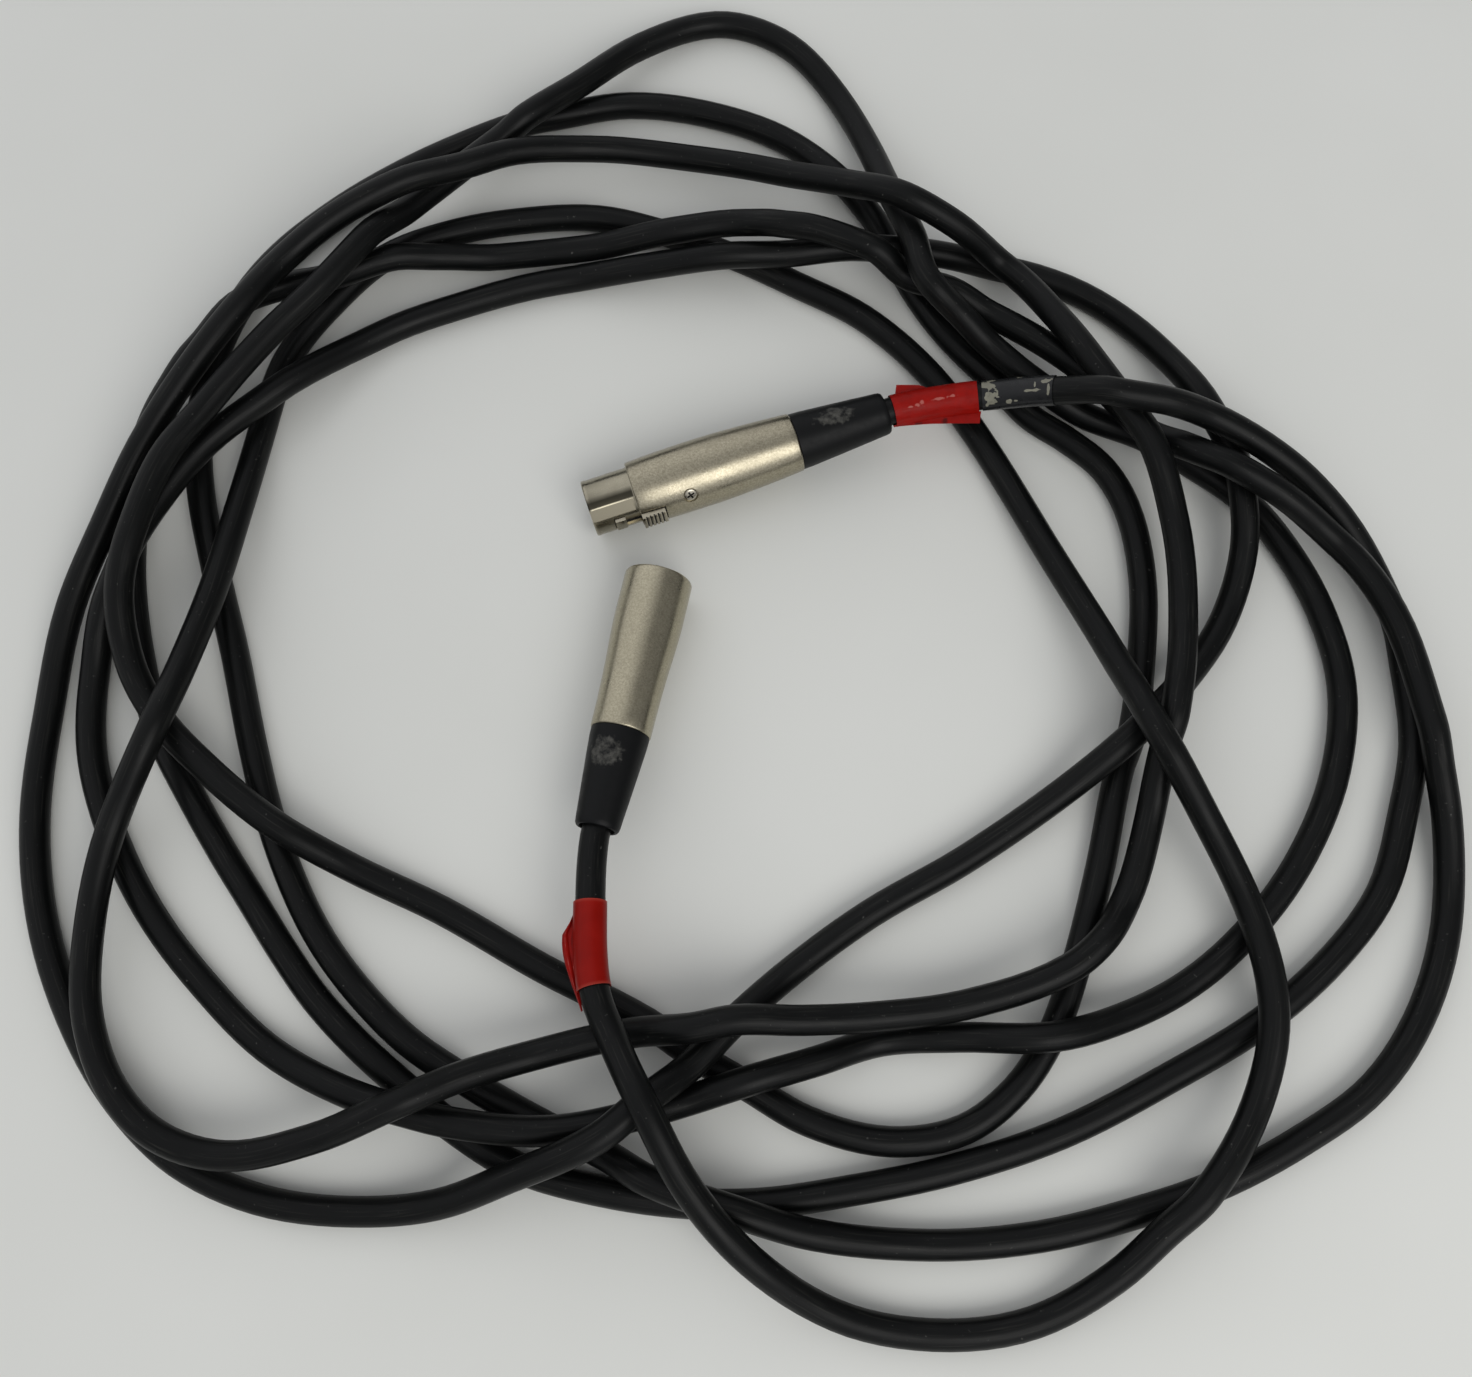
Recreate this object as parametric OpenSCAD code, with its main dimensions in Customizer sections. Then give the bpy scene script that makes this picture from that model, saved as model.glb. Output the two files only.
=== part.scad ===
// Three-pole microphone cable, laid in a loose coil of about seven turns.
// Origin: bottom centre of the coil. +Z up, +Y towards the top of the coil.

/* [Cable] */
// Outer diameter of the rubber jacket
cable_d = 7.8; // [7:0.1:8]
// Air left between one layer of cable and the next
layer_gap = 0.9; // [0.5:0.1:1.6]
// Sides of the jacket tube
cable_sides = 6; // [6:2:10]
// Gap between the jacket and what is wrapped or pushed over it
cable_clearance = 0.2; // [0.1:0.05:0.4]
// Radius of each of the three inner leads
lead_r = 0.8; // [0.5:0.05:1]

/* [Shells] */
// Outer diameter of the female nose collar
nose_d = 16; // [15.6:0.1:16.4]
// Length of the female nose collar
nose_len = 13.3; // [11:0.1:15]
// Outer diameter of the female barrel at its front
female_d = 18.4; // [17.8:0.1:20]
// Outer diameter of the female barrel in its fuller middle
female_mid_d = 19.2; // [18.4:0.1:20]
// Distance of the fuller middle from the nose
female_mid_z = 30; // [26:0.5:34]
// Length of the fuller middle
female_mid_len = 8; // [4:0.5:12]
// Outer diameter of the female barrel at its boot
female_tail_d = 16.6; // [16.6:0.1:17.8]
// Length of the female shell with its collar
female_len = 61.3; // [58:0.1:70]
// Outer diameter of the male shell at its mouth
male_d = 19; // [18.6:0.1:20]
// Outer diameter of the male shell at its boot
male_tail_d = 16.6; // [16.6:0.1:17.8]
// Length of the male shell
male_len = 46; // [45:0.1:56]
// Length of the male shell's straight mouth end
male_straight = 14; // [10:0.5:18]
// Length over which the male shell narrows behind it
male_neck_len = 18; // [14:0.5:22]
// Taper of the male shell behind its neck, on the radius
male_tail_taper = 0.15; // [0.05:0.05:0.3]
// Depth of the male mouth
mouth_depth = 15.5; // [14:0.1:16]
// Play between the female nose and the male mouth, on the radius
mating_gap = 0.06; // [0.02:0.01:0.2]
// Wall of the female collar
nose_wall = 0.9; // [0.6:0.05:1.1]
// Radius of the bore behind the collar and the mouth
tail_bore_r = 7.5; // [7.3:0.05:7.6]

/* [Inserts and contacts] */
// Play between an insert and its shell
insert_gap = 0.1; // [0.05:0.05:0.2]
// Length of the female insert
female_insert_len = 31; // [30:0.5:34]
// Setback of the female insert behind the collar's rim
insert_setback = 0.8; // [0.4:0.1:1.5]
// Length of the male insert
male_insert_len = 12.4; // [11:0.1:14]
// Radius of the circle that the three contacts lie on
contact_circle_r = 3.8; // [3.7:0.05:4]
// Radius of a male pin
pin_r = 1.2; // [1.1:0.01:1.25]
// Running play between a pin and its socket
socket_gap = 0.03; // [0.02:0.01:0.05]
// Radius of a contact behind its front part
contact_r = 1.6; // [1.5:0.05:1.7]
// Depth of the socket in a female contact
socket_depth = 12.5; // [11:0.5:14]
// How far a contact stands out behind its insert
cup_len = 2.4; // [2:0.1:3]
// Radius of the solder cup
cup_r = 1.1; // [1:0.05:1.2]
// Setback of the male pins' tips behind the mouth
pin_setback = 3; // [2:0.1:5]

/* [Latch] */
// Thickness of the latch lever
lever_t = 0.9; // [0.7:0.05:1]
// Width of the latch lever
lever_w = 3.8; // [3.4:0.1:4]
// Width of the ribbed latch button
button_w = 4.8; // [4.2:0.1:5.2]
// Length of the latch button
button_len = 6.8; // [6:0.1:7.2]
// Height of the button over the female barrel
button_rise = 1.4; // [0.8:0.1:1.8]
// Number of ribs across the button
button_ribs = 6; // [4:1:7]
// Length of the latch hook along the connector
hook_len = 3; // [2.4:0.1:3.2]
// Height of the hook over the collar
hook_rise = 0.7; // [0.5:0.05:0.8]
// Play around the lever, the hook and the button
latch_gap = 0.35; // [0.3:0.05:0.5]
// Radius of the latch pivot pin
pivot_r = 0.7; // [0.6:0.05:0.75]
// Running play between the pivot pin and its bores
pivot_gap = 0.05; // [0.02:0.01:0.09]
// Thickness of the latch's leaf spring
leaf_t = 0.25; // [0.2:0.05:0.35]
// Width of the leaf spring
leaf_w = 2.4; // [1.8:0.1:3]

/* [Fasteners and clamps] */
// Radius of an insert screw's head
screw_head_r = 2.1; // [1.9:0.05:2.3]
// Radius of an insert screw's shank
screw_r = 1.15; // [1:0.05:1.2]
// Thickness of an insert screw's head
screw_head_t = 0.7; // [0.6:0.05:0.8]
// Length of an insert screw's shank
screw_len = 3.4; // [2.6:0.1:3.6]
// Play around a screw's head and shank
screw_gap = 0.1; // [0.05:0.05:0.15]
// Length of a cable clamp
clamp_len = 6.5; // [5:0.1:7]
// Number of slits in a cable clamp
clamp_slits = 4; // [2:1:6]
// Width of a clamp's slit
slit_w = 0.8; // [0.5:0.1:1.2]

/* [Boots and tape] */
// Visible length of a boot
boot_len = 27; // [24:0.5:32]
// Outer diameter of a boot where it meets its shell
boot_root_d = 16; // [15.4:0.1:16.4]
// Outer diameter of a boot at its cable end
boot_tip_d = 12; // [10.6:0.1:12.4]
// Length of a boot's spigot inside its shell
spigot_len = 2.6; // [2:0.1:3]
// Thickness of the wrapped red tape
tape_t = 0.4; // [0.3:0.05:0.6]
// Wall of the clear label sleeve
sleeve_t = 0.3; // [0.2:0.05:0.4]

/* [Hidden] */
$fn = 48;

// Where the connectors lie: the centre of the front face, the heading of the cable end, the rise of the tail
female_nose = [-42, 27, 8.6];
female_heading = 18;
female_rise = 3;
male_nose = [-22, 6, 9.6];
male_heading = 258;
male_rise = 5;
// Turn of the latch and of the screw about each connector's own axis
female_latch_turn = 256;
male_latch_turn = 0;
screw_turn = -22;

cable_r = cable_d / 2;
flat_cut = cable_d / 10;
layer_pitch = cable_d + layer_gap;
jacket_bore_r = cable_r + cable_clearance;
nose_r = nose_d / 2;
collar_bore_r = nose_r - nose_wall;
mouth_r = nose_r + mating_gap;
socket_r = pin_r + socket_gap;
female_insert_end = insert_setback + female_insert_len;
male_insert_end = mouth_depth + male_insert_len;
female_screw_z = female_insert_end - 3.6;
male_screw_z = male_insert_end - 5;
// Every shell holds, from its tail forwards: spigot, clamp, stripped end of the jacket
female_strip_z = female_len - spigot_len - clamp_len - 1;
male_strip_z = male_len - spigot_len - clamp_len - 1;
female_end_z = female_len + boot_len;
male_end_z = male_len + boot_len;
tail_run = 2;

// Latch lever: a bar under the collar, hooked at the front and hinged behind the button
lever_top = collar_bore_r - 0.7;
lever_front = 4.5;
hook_z = 6;
button_z = nose_len + 0.2;
pivot_x = lever_top - 0.8;
pivot_z = button_z + button_len + 3.4;
pivot_len = 7.6;
latch_floor = pivot_x - 1.75;
leaf_front = hook_z + hook_len;
leaf_back = leaf_front + 7;
leaf_top = lever_top - lever_t - 0.05;
knuckle_r = pivot_r + 0.55;

contact_turns = [60, -60, 180];

// Route of the cable from the male boot to the female boot, one list for each turn: x, y and layer.
// Layer 0 lies on the table and each whole layer is one cable higher.
turn_1 = [
    [-38, -84, 1.7], [-36, -107, 2.1], [-31, -119, 2.4], [-23, -134, 3.2], [-12, -154, 2.6],
    [3, -171, 1.7], [24, -185, 0.3], [48, -190, 0], [74, -187, 0], [94, -176, 0.4],
    [106, -165, 0.9], [116, -156, 1.2], [131, -135, 0.9], [137, -112, 1.1], [134, -89, 1.1],
    [124, -66, 1.5], [110, -44, 2.7], [106, -33, 2.3], [101, -17, 1.3], [86, 17, 0.4],
    [71, 48, 0], [55, 72, 0], [37, 89, 0], [17, 100, 0], [-1, 109, 0]];
turn_2 = [
    [-22, 117, 0], [-42, 122, 0], [-66, 121, 0], [-86, 117, 0], [-105, 109, 0],
    [-120, 94, 0], [-132, 76, 0], [-137, 57, 0], [-140, 30, 0.6], [-144, 1, 1.2],
    [-149, -21, 1.6], [-153, -39, 2.2], [-165, -65, 1.2], [-169, -91, 0.9], [-166, -114, 1.1],
    [-158, -131, 1.1], [-146, -142, 1.1], [-129, -147, 1], [-107, -143, 1.2], [-84, -134, 2.2],
    [-70, -128, 1.7], [-50, -122, 1.1], [-27, -117, 1.2], [-12, -116, 1.8], [-1, -114, 1.9],
    [16, -114, 1.5], [35, -113, 1.1], [58, -110, 0.9], [85, -101, 1.1], [94, -94, 1.1],
    [102, -83, 0.6], [109, -63, 0.7], [113, -43, 1.5], [115, -35, 2], [117, -26, 2],
    [121, -4, 1.4], [120, 20, 1.6], [113, 43, 2.2], [105, 56, 2.2]];
turn_3 = [
    [98, 68, 2.1], [92, 79, 1.8], [78, 100, 1.1], [62, 107, 2.4], [47, 113, 3], [32, 122, 2.1],
    [10, 133, 0.9], [-17, 140, 0.5], [-44, 141, 0.8], [-66, 136, 1.5], [-80, 129, 1.9],
    [-98, 121, 2.3], [-115, 111, 2.2], [-130, 98, 2], [-141, 82, 2.2], [-154, 64, 1.9],
    [-167, 43, 1.4], [-177, 22, 0.8], [-186, -1, 0.3], [-190, -33, 0], [-190, -63, 0],
    [-184, -91, 0], [-172, -117, 0], [-159, -135, 0], [-143, -149, 0], [-122, -158, 0],
    [-98, -161, 0], [-76, -159, 0.4], [-57, -152, 1.3], [-34, -142, 2.2], [-24, -134, 2.1],
    [-12, -125, 1.2], [-1, -114, 0.8], [14, -101, 0.1], [35, -86, 0], [60, -72, 0],
    [87, -54, 0.3], [106, -39, 1.1], [113, -32, 1], [121, -24, 0.6], [135, -5, 0.3],
    [141, 14, 0.7], [141, 28, 1.1], [140, 41, 1], [134, 56, 1], [123, 77, 0.3],
    [106, 94, 0], [79, 105, 0]];
turn_4 = [
    [61, 106, 0.7], [45, 106, 1.1], [33, 107, 1], [15, 105, 1], [-1, 104, 1.1],
    [-26, 103, 0.6], [-53, 101, 0], [-79, 94, 0], [-105, 83, 0.1], [-133, 60, 1.1],
    [-150, 45, 1.1], [-160, 31, 1.1], [-168, 15, 1.2], [-171, 6, 1.1], [-175, -3, 0.7],
    [-178, -22, 0.1], [-177, -41, 0], [-170, -62, 0], [-157, -85, 0], [-140, -105, 0],
    [-122, -121, 0.1], [-102, -131, 0.5], [-85, -136, 1.1], [-72, -139, 1.1], [-48, -141, 1.1],
    [-29, -138, 1], [-14, -134, 0.8], [2, -129, 1.1], [20, -124, 0.6], [37, -119, 0],
    [57, -118, 0.4], [80, -118, 1.1], [100, -113, 0.4], [119, -104, 0], [137, -89, 0],
    [152, -70, 0], [163, -47, 0], [167, -23, 0], [163, -1, 0], [155, 17, 0],
    [145, 31, 0], [131, 42, 0], [117, 51, 0], [101, 57, 0.1], [84, 66, 0.8]];
turn_5 = [
    [73, 75, 1], [64, 82, 1.6], [54, 89, 2.4], [50, 105, 2.1], [45, 122, 1.4],
    [39, 144, 0.5], [28, 168, 0], [13, 184, 0], [-7, 190, 0], [-30, 180, 0.3],
    [-49, 162, 0.9], [-63, 150, 1.2], [-71, 144, 0.9], [-82, 135, 0.8], [-96, 120, 1.1],
    [-107, 105, 2], [-118, 90, 2.1], [-132, 74, 2.1], [-148, 52, 2.1], [-158, 36, 2.2],
    [-164, 16, 2.2], [-167, -1, 1.9], [-164, -20, 1.3], [-156, -34, 1.1], [-142, -48, 1.1],
    [-123, -63, 1.1], [-103, -74, 0.3], [-79, -85, 0], [-52, -100, 0], [-24, -114, 0],
    [-12, -122, 0], [2, -130, 0], [18, -139, 0], [39, -144, 0], [58, -141, 0],
    [72, -131, 0], [82, -117, 0], [89, -100, 0], [97, -74, 0], [104, -47, 0],
    [108, -37, 0], [112, -16, 0], [114, 8, 0], [111, 29, 0], [105, 41, 0], [95, 50, 0],
    [85, 57, 0], [77, 66, 0], [61, 84, 0], [52, 98, 0]];
turn_6 = [
    [46, 111, 0], [40, 123, 0], [32, 132, 0.3], [17, 147, 0], [-6, 157, 0],
    [-33, 161, 0], [-56, 157, 0], [-65, 155, 0], [-86, 146, 0], [-104, 136, 0],
    [-121, 124, 0], [-137, 109, 0], [-147, 94, 0], [-154, 74, 0], [-156, 55, 0],
    [-154, 35, 0], [-148, 12, 0], [-140, -14, 0], [-133, -40, 0], [-126, -62, 0],
    [-117, -82, 0], [-109, -95, 0], [-98, -108, 0], [-86, -119, 0], [-72, -128, 0],
    [-50, -140, 0], [-34, -147, 0.3], [-22, -153, 1.1], [-1, -160, 1.2], [19, -166, 0.6],
    [48, -169, 0], [76, -167, 0], [102, -161, 0], [121, -155, 0], [144, -144, 0],
    [165, -130, 0], [180, -110, 0], [189, -85, 0], [190, -61, 0.4], [188, -48, 0.8],
    [186, -35, 1.1], [179, -5, 1.1], [167, 14, 1.1], [150, 26, 1.9], [136, 34, 2.2],
    [125, 41, 1.8], [115, 49, 1.1], [104, 62, 1.1], [91, 74, 1], [73, 86, 0.9]];
turn_7 = [
    [61, 92, 1.3], [50, 96, 1.2], [38, 102, 2], [22, 108, 2], [12, 110, 1.9],
    [2, 113, 1.4], [-19, 112, 1.1], [-44, 110, 0.4], [-71, 108, 0.2], [-88, 106, 0.6],
    [-102, 103, 1.1], [-120, 97, 1], [-132, 95, 0.9], [-145, 88, 1.1], [-155, 74, 1.1],
    [-165, 63, 0.4], [-171, 46, 0.2], [-172, 29, 0], [-171, 8, 0], [-166, -16, 0],
    [-159, -36, 0], [-148, -55, 0], [-139, -69, 0], [-130, -82, 0], [-121, -95, 0],
    [-111, -108, 0], [-99, -120, 0], [-87, -130, 0], [-74, -140, 0], [-57, -150, 0],
    [-35, -156, 0], [-12, -159, 0], [6, -159, 0], [28, -156, 0], [54, -151, 0],
    [83, -142, 0], [112, -128, 0], [137, -114, 0], [158, -97, 0], [172, -80, 0],
    [180, -59, 0], [185, -40, 0], [185, -19, 0], [183, -1, 0], [169, 24, 0.7],
    [152, 37, 1.7], [130, 48, 2.4], [115, 50, 3.1], [102, 52, 3.2], [89, 56, 2.3], [68, 58, 1.4]];
route = concat(turn_1, turn_2, turn_3, turn_4, turn_5, turn_6, turn_7);

// Direction of a heading that rises by an angle
function heading(turn, rise) = [cos(rise) * cos(turn), cos(rise) * sin(turn), sin(rise)];
// Point of the route at its height over the table
function lay(p) = [p.x, p.y, cable_r - flat_cut + p.z * layer_pitch];
function female_at(z) = female_nose + z * heading(female_heading, female_rise);
function male_at(z) = male_nose + z * heading(male_heading, male_rise);

cable_line = concat(
    [male_at(male_strip_z), male_at(male_end_z), male_at(male_end_z + tail_run)],
    [for (p = route) lay(p)],
    [female_at(female_end_z + tail_run), female_at(female_end_z), female_at(female_strip_z)]);
male_tape_line = [lay(turn_1[0]), lay(turn_1[1])];
label_line = [lay(turn_7[len(turn_7) - 1]), lay(turn_7[len(turn_7) - 2])];
female_tape_line = [female_at(female_end_z + tail_run), lay(turn_7[len(turn_7) - 1])];

function unit(v) = v / norm(v);
function clamp01(x) = min(1, max(0, x));
// Travelling direction of a line at one of its points
function along(line, i) =
    i == 0 ? unit(line[1] - line[0]) :
    i == len(line) - 1 ? unit(line[i] - line[i - 1]) :
    unit(unit(line[i + 1] - line[i]) + unit(line[i] - line[i - 1]));
// One ring of the jacket, never lower than the table
function ring(line, i) =
    let (t = along(line, i), side = unit(cross([0, 0, 1], t)), top = cross(t, side))
    [for (k = [0:cable_sides - 1])
        let (a = 360 * k / cable_sides, p = line[i] + cable_r * (cos(a) * side + sin(a) * top))
        [p.x, p.y, max(0, p.z)]];

// Tube swept along a line of points
module swept_tube(line) {
    rings = len(line);
    points = [for (i = [0:rings - 1]) each ring(line, i)];
    walls = [for (i = [0:rings - 2], k = [0:cable_sides - 1])
        let (a = i * cable_sides + k, b = i * cable_sides + (k + 1) % cable_sides)
        each [[a, b + cable_sides, b], [a, a + cable_sides, b + cable_sides]]];
    caps = [for (k = [1:cable_sides - 2]) each [
        [0, k, k + 1],
        [(rings - 1) * cable_sides, (rings - 1) * cable_sides + k + 1, (rings - 1) * cable_sides + k]]];
    polyhedron(points, concat(walls, caps), convexity = 10);
}

// Shortest distance between two stretches of the line
function stretch_distance(p, q, r, s) =
    let (u = q - p, v = s - r, w = p - r, a = u * u, e = v * v, b = u * v, c = u * w, f = v * w,
        m = a * e - b * b, k = m > 0.001 ? clamp01((b * f - c * e) / m) : 0,
        t = clamp01((b * k + f) / e), j = clamp01((b * t - c) / a))
    norm(p + u * j - r - v * t);
function line_length(line) = [for (i = [0:len(line) - 2]) norm(line[i + 1] - line[i])] * [for (i = [0:len(line) - 2]) 1];
function least_distance(line) = min([
    for (i = [0:len(line) - 2], j = [i + 1:len(line) - 2])
        if (j > i + 3 && norm(line[i] - line[j]) < 12 * cable_r)
            stretch_distance(line[i], line[i + 1], line[j], line[j + 1])]);

// Lays a connector, modelled nose down at z = 0 with its cable upwards, where it belongs
module at_female() {
    translate(female_nose) rotate([0, 90 - female_rise, female_heading]) children();
}
module at_male() {
    translate(male_nose) rotate([0, 90 - male_rise, male_heading]) children();
}
// Places what is modelled along +Z on a stretch of the cable
module on_line(line) {
    run = line[1] - line[0];
    translate(line[0]) rotate([0, acos(run.z / norm(run)), atan2(run.y, run.x)]) children();
}
// Turns +Z to point along +X, out of a connector's side
module sideways(z) {
    translate([0, 0, z]) rotate([0, 90, 0]) children();
}
module three_contacts(turn) {
    for (a = contact_turns) rotate([0, 0, turn + a]) translate([contact_circle_r, 0, 0]) children();
}
// Block in the latch's own plane: x outwards, y across, z along the connector
module latch_block(x, w, z) {
    translate([x[0], -w / 2, z[0]]) cube([x[1] - x[0], w, z[1] - z[0]]);
}

// Outer radius of a shell at a height of its side from one corner of its outline to the next
function side_r(from, to, z) = from[0] + (to[0] - from[0]) * clamp01((z - from[1]) / (to[1] - from[1]));
female_side = [
    [female_d / 2, nose_len + 0.5], [(female_d + 2 * female_mid_d) / 6, (nose_len + female_mid_z) / 2],
    [female_mid_d / 2, female_mid_z], [female_mid_d / 2 - 0.1, female_mid_z + female_mid_len],
    [(female_mid_d + female_tail_d) / 4 + 0.1, (female_mid_z + female_mid_len + female_len) / 2],
    [female_tail_d / 2, female_len - 0.3]];
male_side = [
    [male_d / 2, 0.5], [male_d / 2, male_straight], [male_tail_d / 2 + male_tail_taper, male_straight + male_neck_len],
    [male_tail_d / 2, male_len - 0.3]];
female_screw_seat = side_r(female_side[1], female_side[2], female_screw_z) - screw_head_t;
male_screw_seat = side_r(male_side[1], male_side[2], male_screw_z) - screw_head_t;
module screw_cut(seat, z) {
    sideways(z) {
        translate([0, 0, seat - screw_len - 0.2]) cylinder(r = screw_r + screw_gap, h = 2 * seat);
        translate([0, 0, seat]) cylinder(r = screw_head_r + screw_gap, h = seat);
    }
}
module insert_screw(seat, z) {
    difference() {
        sideways(z) {
            translate([0, 0, seat - screw_len]) cylinder(r = screw_r, h = screw_len + 0.1);
            translate([0, 0, seat]) cylinder(r = screw_head_r, h = screw_head_t);
        }
        for (a = [45, -45]) sideways(z) rotate([0, 0, a])
            translate([-1.4, -0.25, seat + screw_head_t / 2]) cube([2.8, 0.5, screw_head_t]);
    }
}

module female_shell() {
    color("#b8b2a2") at_female() difference() {
        rotate_extrude($fn = 96) polygon(concat(
            [[collar_bore_r, 0], [nose_r - 0.4, 0], [nose_r, 0.4], [nose_r, nose_len],
                [female_d / 2 - 0.5, nose_len]],
            female_side,
            [[female_tail_d / 2 - 0.3, female_len], [tail_bore_r, female_len], [tail_bore_r, nose_len],
                [collar_bore_r, nose_len]]));
        rotate([0, 0, female_latch_turn]) {
            latch_block([lever_top, nose_r + 1], lever_w + 2 * latch_gap,
                [hook_z - latch_gap, nose_len]);
            latch_block([lever_top, female_d], button_w + 2 * latch_gap,
                [button_z - latch_gap, button_z + button_len + latch_gap]);
        }
        rotate([0, 0, female_latch_turn + screw_turn]) screw_cut(female_screw_seat, female_screw_z);
    }
}

module female_insert() {
    color("#1c1c1e") at_female() difference() {
        union() {
            translate([0, 0, insert_setback]) cylinder(r = collar_bore_r - insert_gap, h = nose_len);
            translate([0, 0, nose_len + insert_gap])
                cylinder(r = tail_bore_r - insert_gap, h = female_insert_end - nose_len - insert_gap);
        }
        three_contacts(female_latch_turn) {
            translate([0, 0, insert_setback + 1.7]) cylinder(r = contact_r + insert_gap / 2, h = female_insert_end);
            cylinder(r = socket_r + 0.3, h = female_insert_end);
        }
        rotate([0, 0, female_latch_turn]) {
            latch_block([latch_floor, tail_bore_r], lever_w + 2 * latch_gap, [lever_front - latch_gap, pivot_z + 2.4]);
            latch_block([lever_top - lever_t - 1.2, tail_bore_r], button_w + 2 * latch_gap,
                [button_z - latch_gap, button_z + button_len + latch_gap]);
            translate([pivot_x, 0, pivot_z]) rotate([90, 0, 0])
                cylinder(r = pivot_r + pivot_gap, h = pivot_len + 2 * pivot_gap, center = true);
        }
        rotate([0, 0, female_latch_turn + screw_turn]) screw_cut(female_screw_seat, female_screw_z);
    }
}

// Socket contact: sleeve in front, solder cup behind
module female_contacts() {
    color("#c8a85a") at_female() three_contacts(female_latch_turn) difference() {
        translate([0, 0, insert_setback + 1.7])
            cylinder(r = contact_r, h = female_insert_end + cup_len - insert_setback - 1.7);
        cylinder(r = socket_r, h = insert_setback + 1.7 + socket_depth);
        translate([0, 0, female_insert_end - 1]) cylinder(r = cup_r, h = 2 * cup_len);
    }
}

module female_insert_screw() {
    color("#8a8474") at_female() rotate([0, 0, female_latch_turn + screw_turn])
        insert_screw(female_screw_seat, female_screw_z);
}

module latch_lever() {
    color("#a7a08f") at_female() rotate([0, 0, female_latch_turn]) difference() {
        union() {
            latch_block([lever_top - lever_t, lever_top], lever_w, [lever_front, pivot_z]);
            latch_block([lever_top - 0.1, nose_r + hook_rise], lever_w, [hook_z, hook_z + hook_len]);
            latch_block([lever_top - 0.1, female_d / 2 + button_rise], button_w, [button_z, button_z + button_len]);
            translate([pivot_x, 0, pivot_z]) rotate([90, 0, 0]) cylinder(r = knuckle_r, h = lever_w, center = true);
        }
        // Ramp that lets the hook slide under the mating shell
        translate([nose_r, 0, hook_z]) rotate([0, 45, 0])
            translate([0, -lever_w, -2]) cube([2, 2 * lever_w, 2]);
        // Grooves between the ribs of the button
        for (i = [1:button_ribs - 1])
            latch_block([female_d / 2 + button_rise - 0.4, female_d], button_w + 1,
                [button_z + i * button_len / button_ribs - 0.2, button_z + i * button_len / button_ribs + 0.2]);
        translate([pivot_x, 0, pivot_z]) rotate([90, 0, 0])
            cylinder(r = pivot_r + pivot_gap, h = lever_w + 1, center = true);
    }
}

module latch_pin() {
    color("#9a9a96") at_female() rotate([0, 0, female_latch_turn])
        translate([pivot_x, 0, pivot_z]) rotate([90, 0, 0]) cylinder(r = pivot_r, h = pivot_len, center = true);
}

// Bent leaf: one leg flat on the channel's floor, the other sprung up under the lever
module latch_spring() {
    color("#7d7d80") at_female() rotate([0, 0, female_latch_turn]) translate([0, leaf_w / 2, 0]) rotate([90, 0, 0])
        linear_extrude(leaf_w) polygon([
            [latch_floor, leaf_back], [latch_floor, leaf_front], [leaf_top, leaf_front + 2.6],
            [leaf_top, leaf_front + 3.4], [leaf_top - leaf_t, leaf_front + 3.4],
            [leaf_top - leaf_t, leaf_front + 2.6], [latch_floor + leaf_t, leaf_front + 0.75],
            [latch_floor + leaf_t, leaf_back]]);
}

// Slit sleeve that grips the jacket inside a shell
module cable_clamp(z) {
    difference() {
        translate([0, 0, z]) cylinder(r = tail_bore_r - insert_gap, h = clamp_len);
        translate([0, 0, z - 1]) cylinder(r = jacket_bore_r, h = clamp_len + 2);
        for (i = [0:clamp_slits - 1]) rotate([0, 0, 45 + 360 * i / clamp_slits])
            translate([0, -slit_w / 2, z - 1]) cube([2 * tail_bore_r, slit_w, clamp_len - 0.5]);
    }
}
module female_cable_clamp() {
    color("#35363a") at_female() cable_clamp(female_strip_z + 0.5);
}
module male_cable_clamp() {
    color("#35363a") at_male() cable_clamp(male_strip_z + 0.5);
}

// Strain relief: spigot in the shell, long cone, rounded lip round the cable
module boot(z) {
    rotate_extrude($fn = 96) polygon([
        [jacket_bore_r, z - spigot_len], [tail_bore_r - insert_gap, z - spigot_len], [tail_bore_r - insert_gap, z],
        [boot_root_d / 2 - 0.3, z], [boot_root_d / 2, z + 0.3], [boot_root_d / 2 - 0.2, z + 3],
        [boot_tip_d / 2 + 0.1, z + boot_len - 3], [boot_tip_d / 2 + 0.1, z + boot_len - 0.8],
        [boot_tip_d / 2 - 0.5, z + boot_len], [jacket_bore_r, z + boot_len]]);
}
module female_boot() {
    color("#18191b") at_female() boot(female_len);
}
module male_boot() {
    color("#18191b") at_male() boot(male_len);
}

// Lead from its solder cup to the end of the jacket
module lead(cup_z, strip_z) {
    bend = cup_z + cup_len + 0.4;
    knee = max(bend + 0.1, strip_z - 1.2);
    inner = contact_circle_r - min(1.5, knee - bend);
    reach = norm([contact_circle_r - inner, knee - bend]);
    translate([contact_circle_r, 0, cup_z - 0.6]) cylinder(r = lead_r, h = bend - cup_z + 0.6);
    translate([contact_circle_r, 0, bend]) sphere(r = lead_r + 0.1);
    translate([contact_circle_r, 0, bend]) rotate([0, -atan2(contact_circle_r - inner, knee - bend), 0])
        cylinder(r = lead_r - 0.05, h = reach);
    translate([inner, 0, knee]) sphere(r = lead_r + 0.1);
    translate([inner, 0, knee]) cylinder(r = lead_r, h = strip_z - knee);
}
module leads(turn, cup_z, strip_z) {
    colours = ["#c8ccd0", "#b02a24", "#26282c"];
    for (i = [0:2]) color(colours[i]) rotate([0, 0, turn + contact_turns[i]]) lead(cup_z, strip_z);
}
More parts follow.
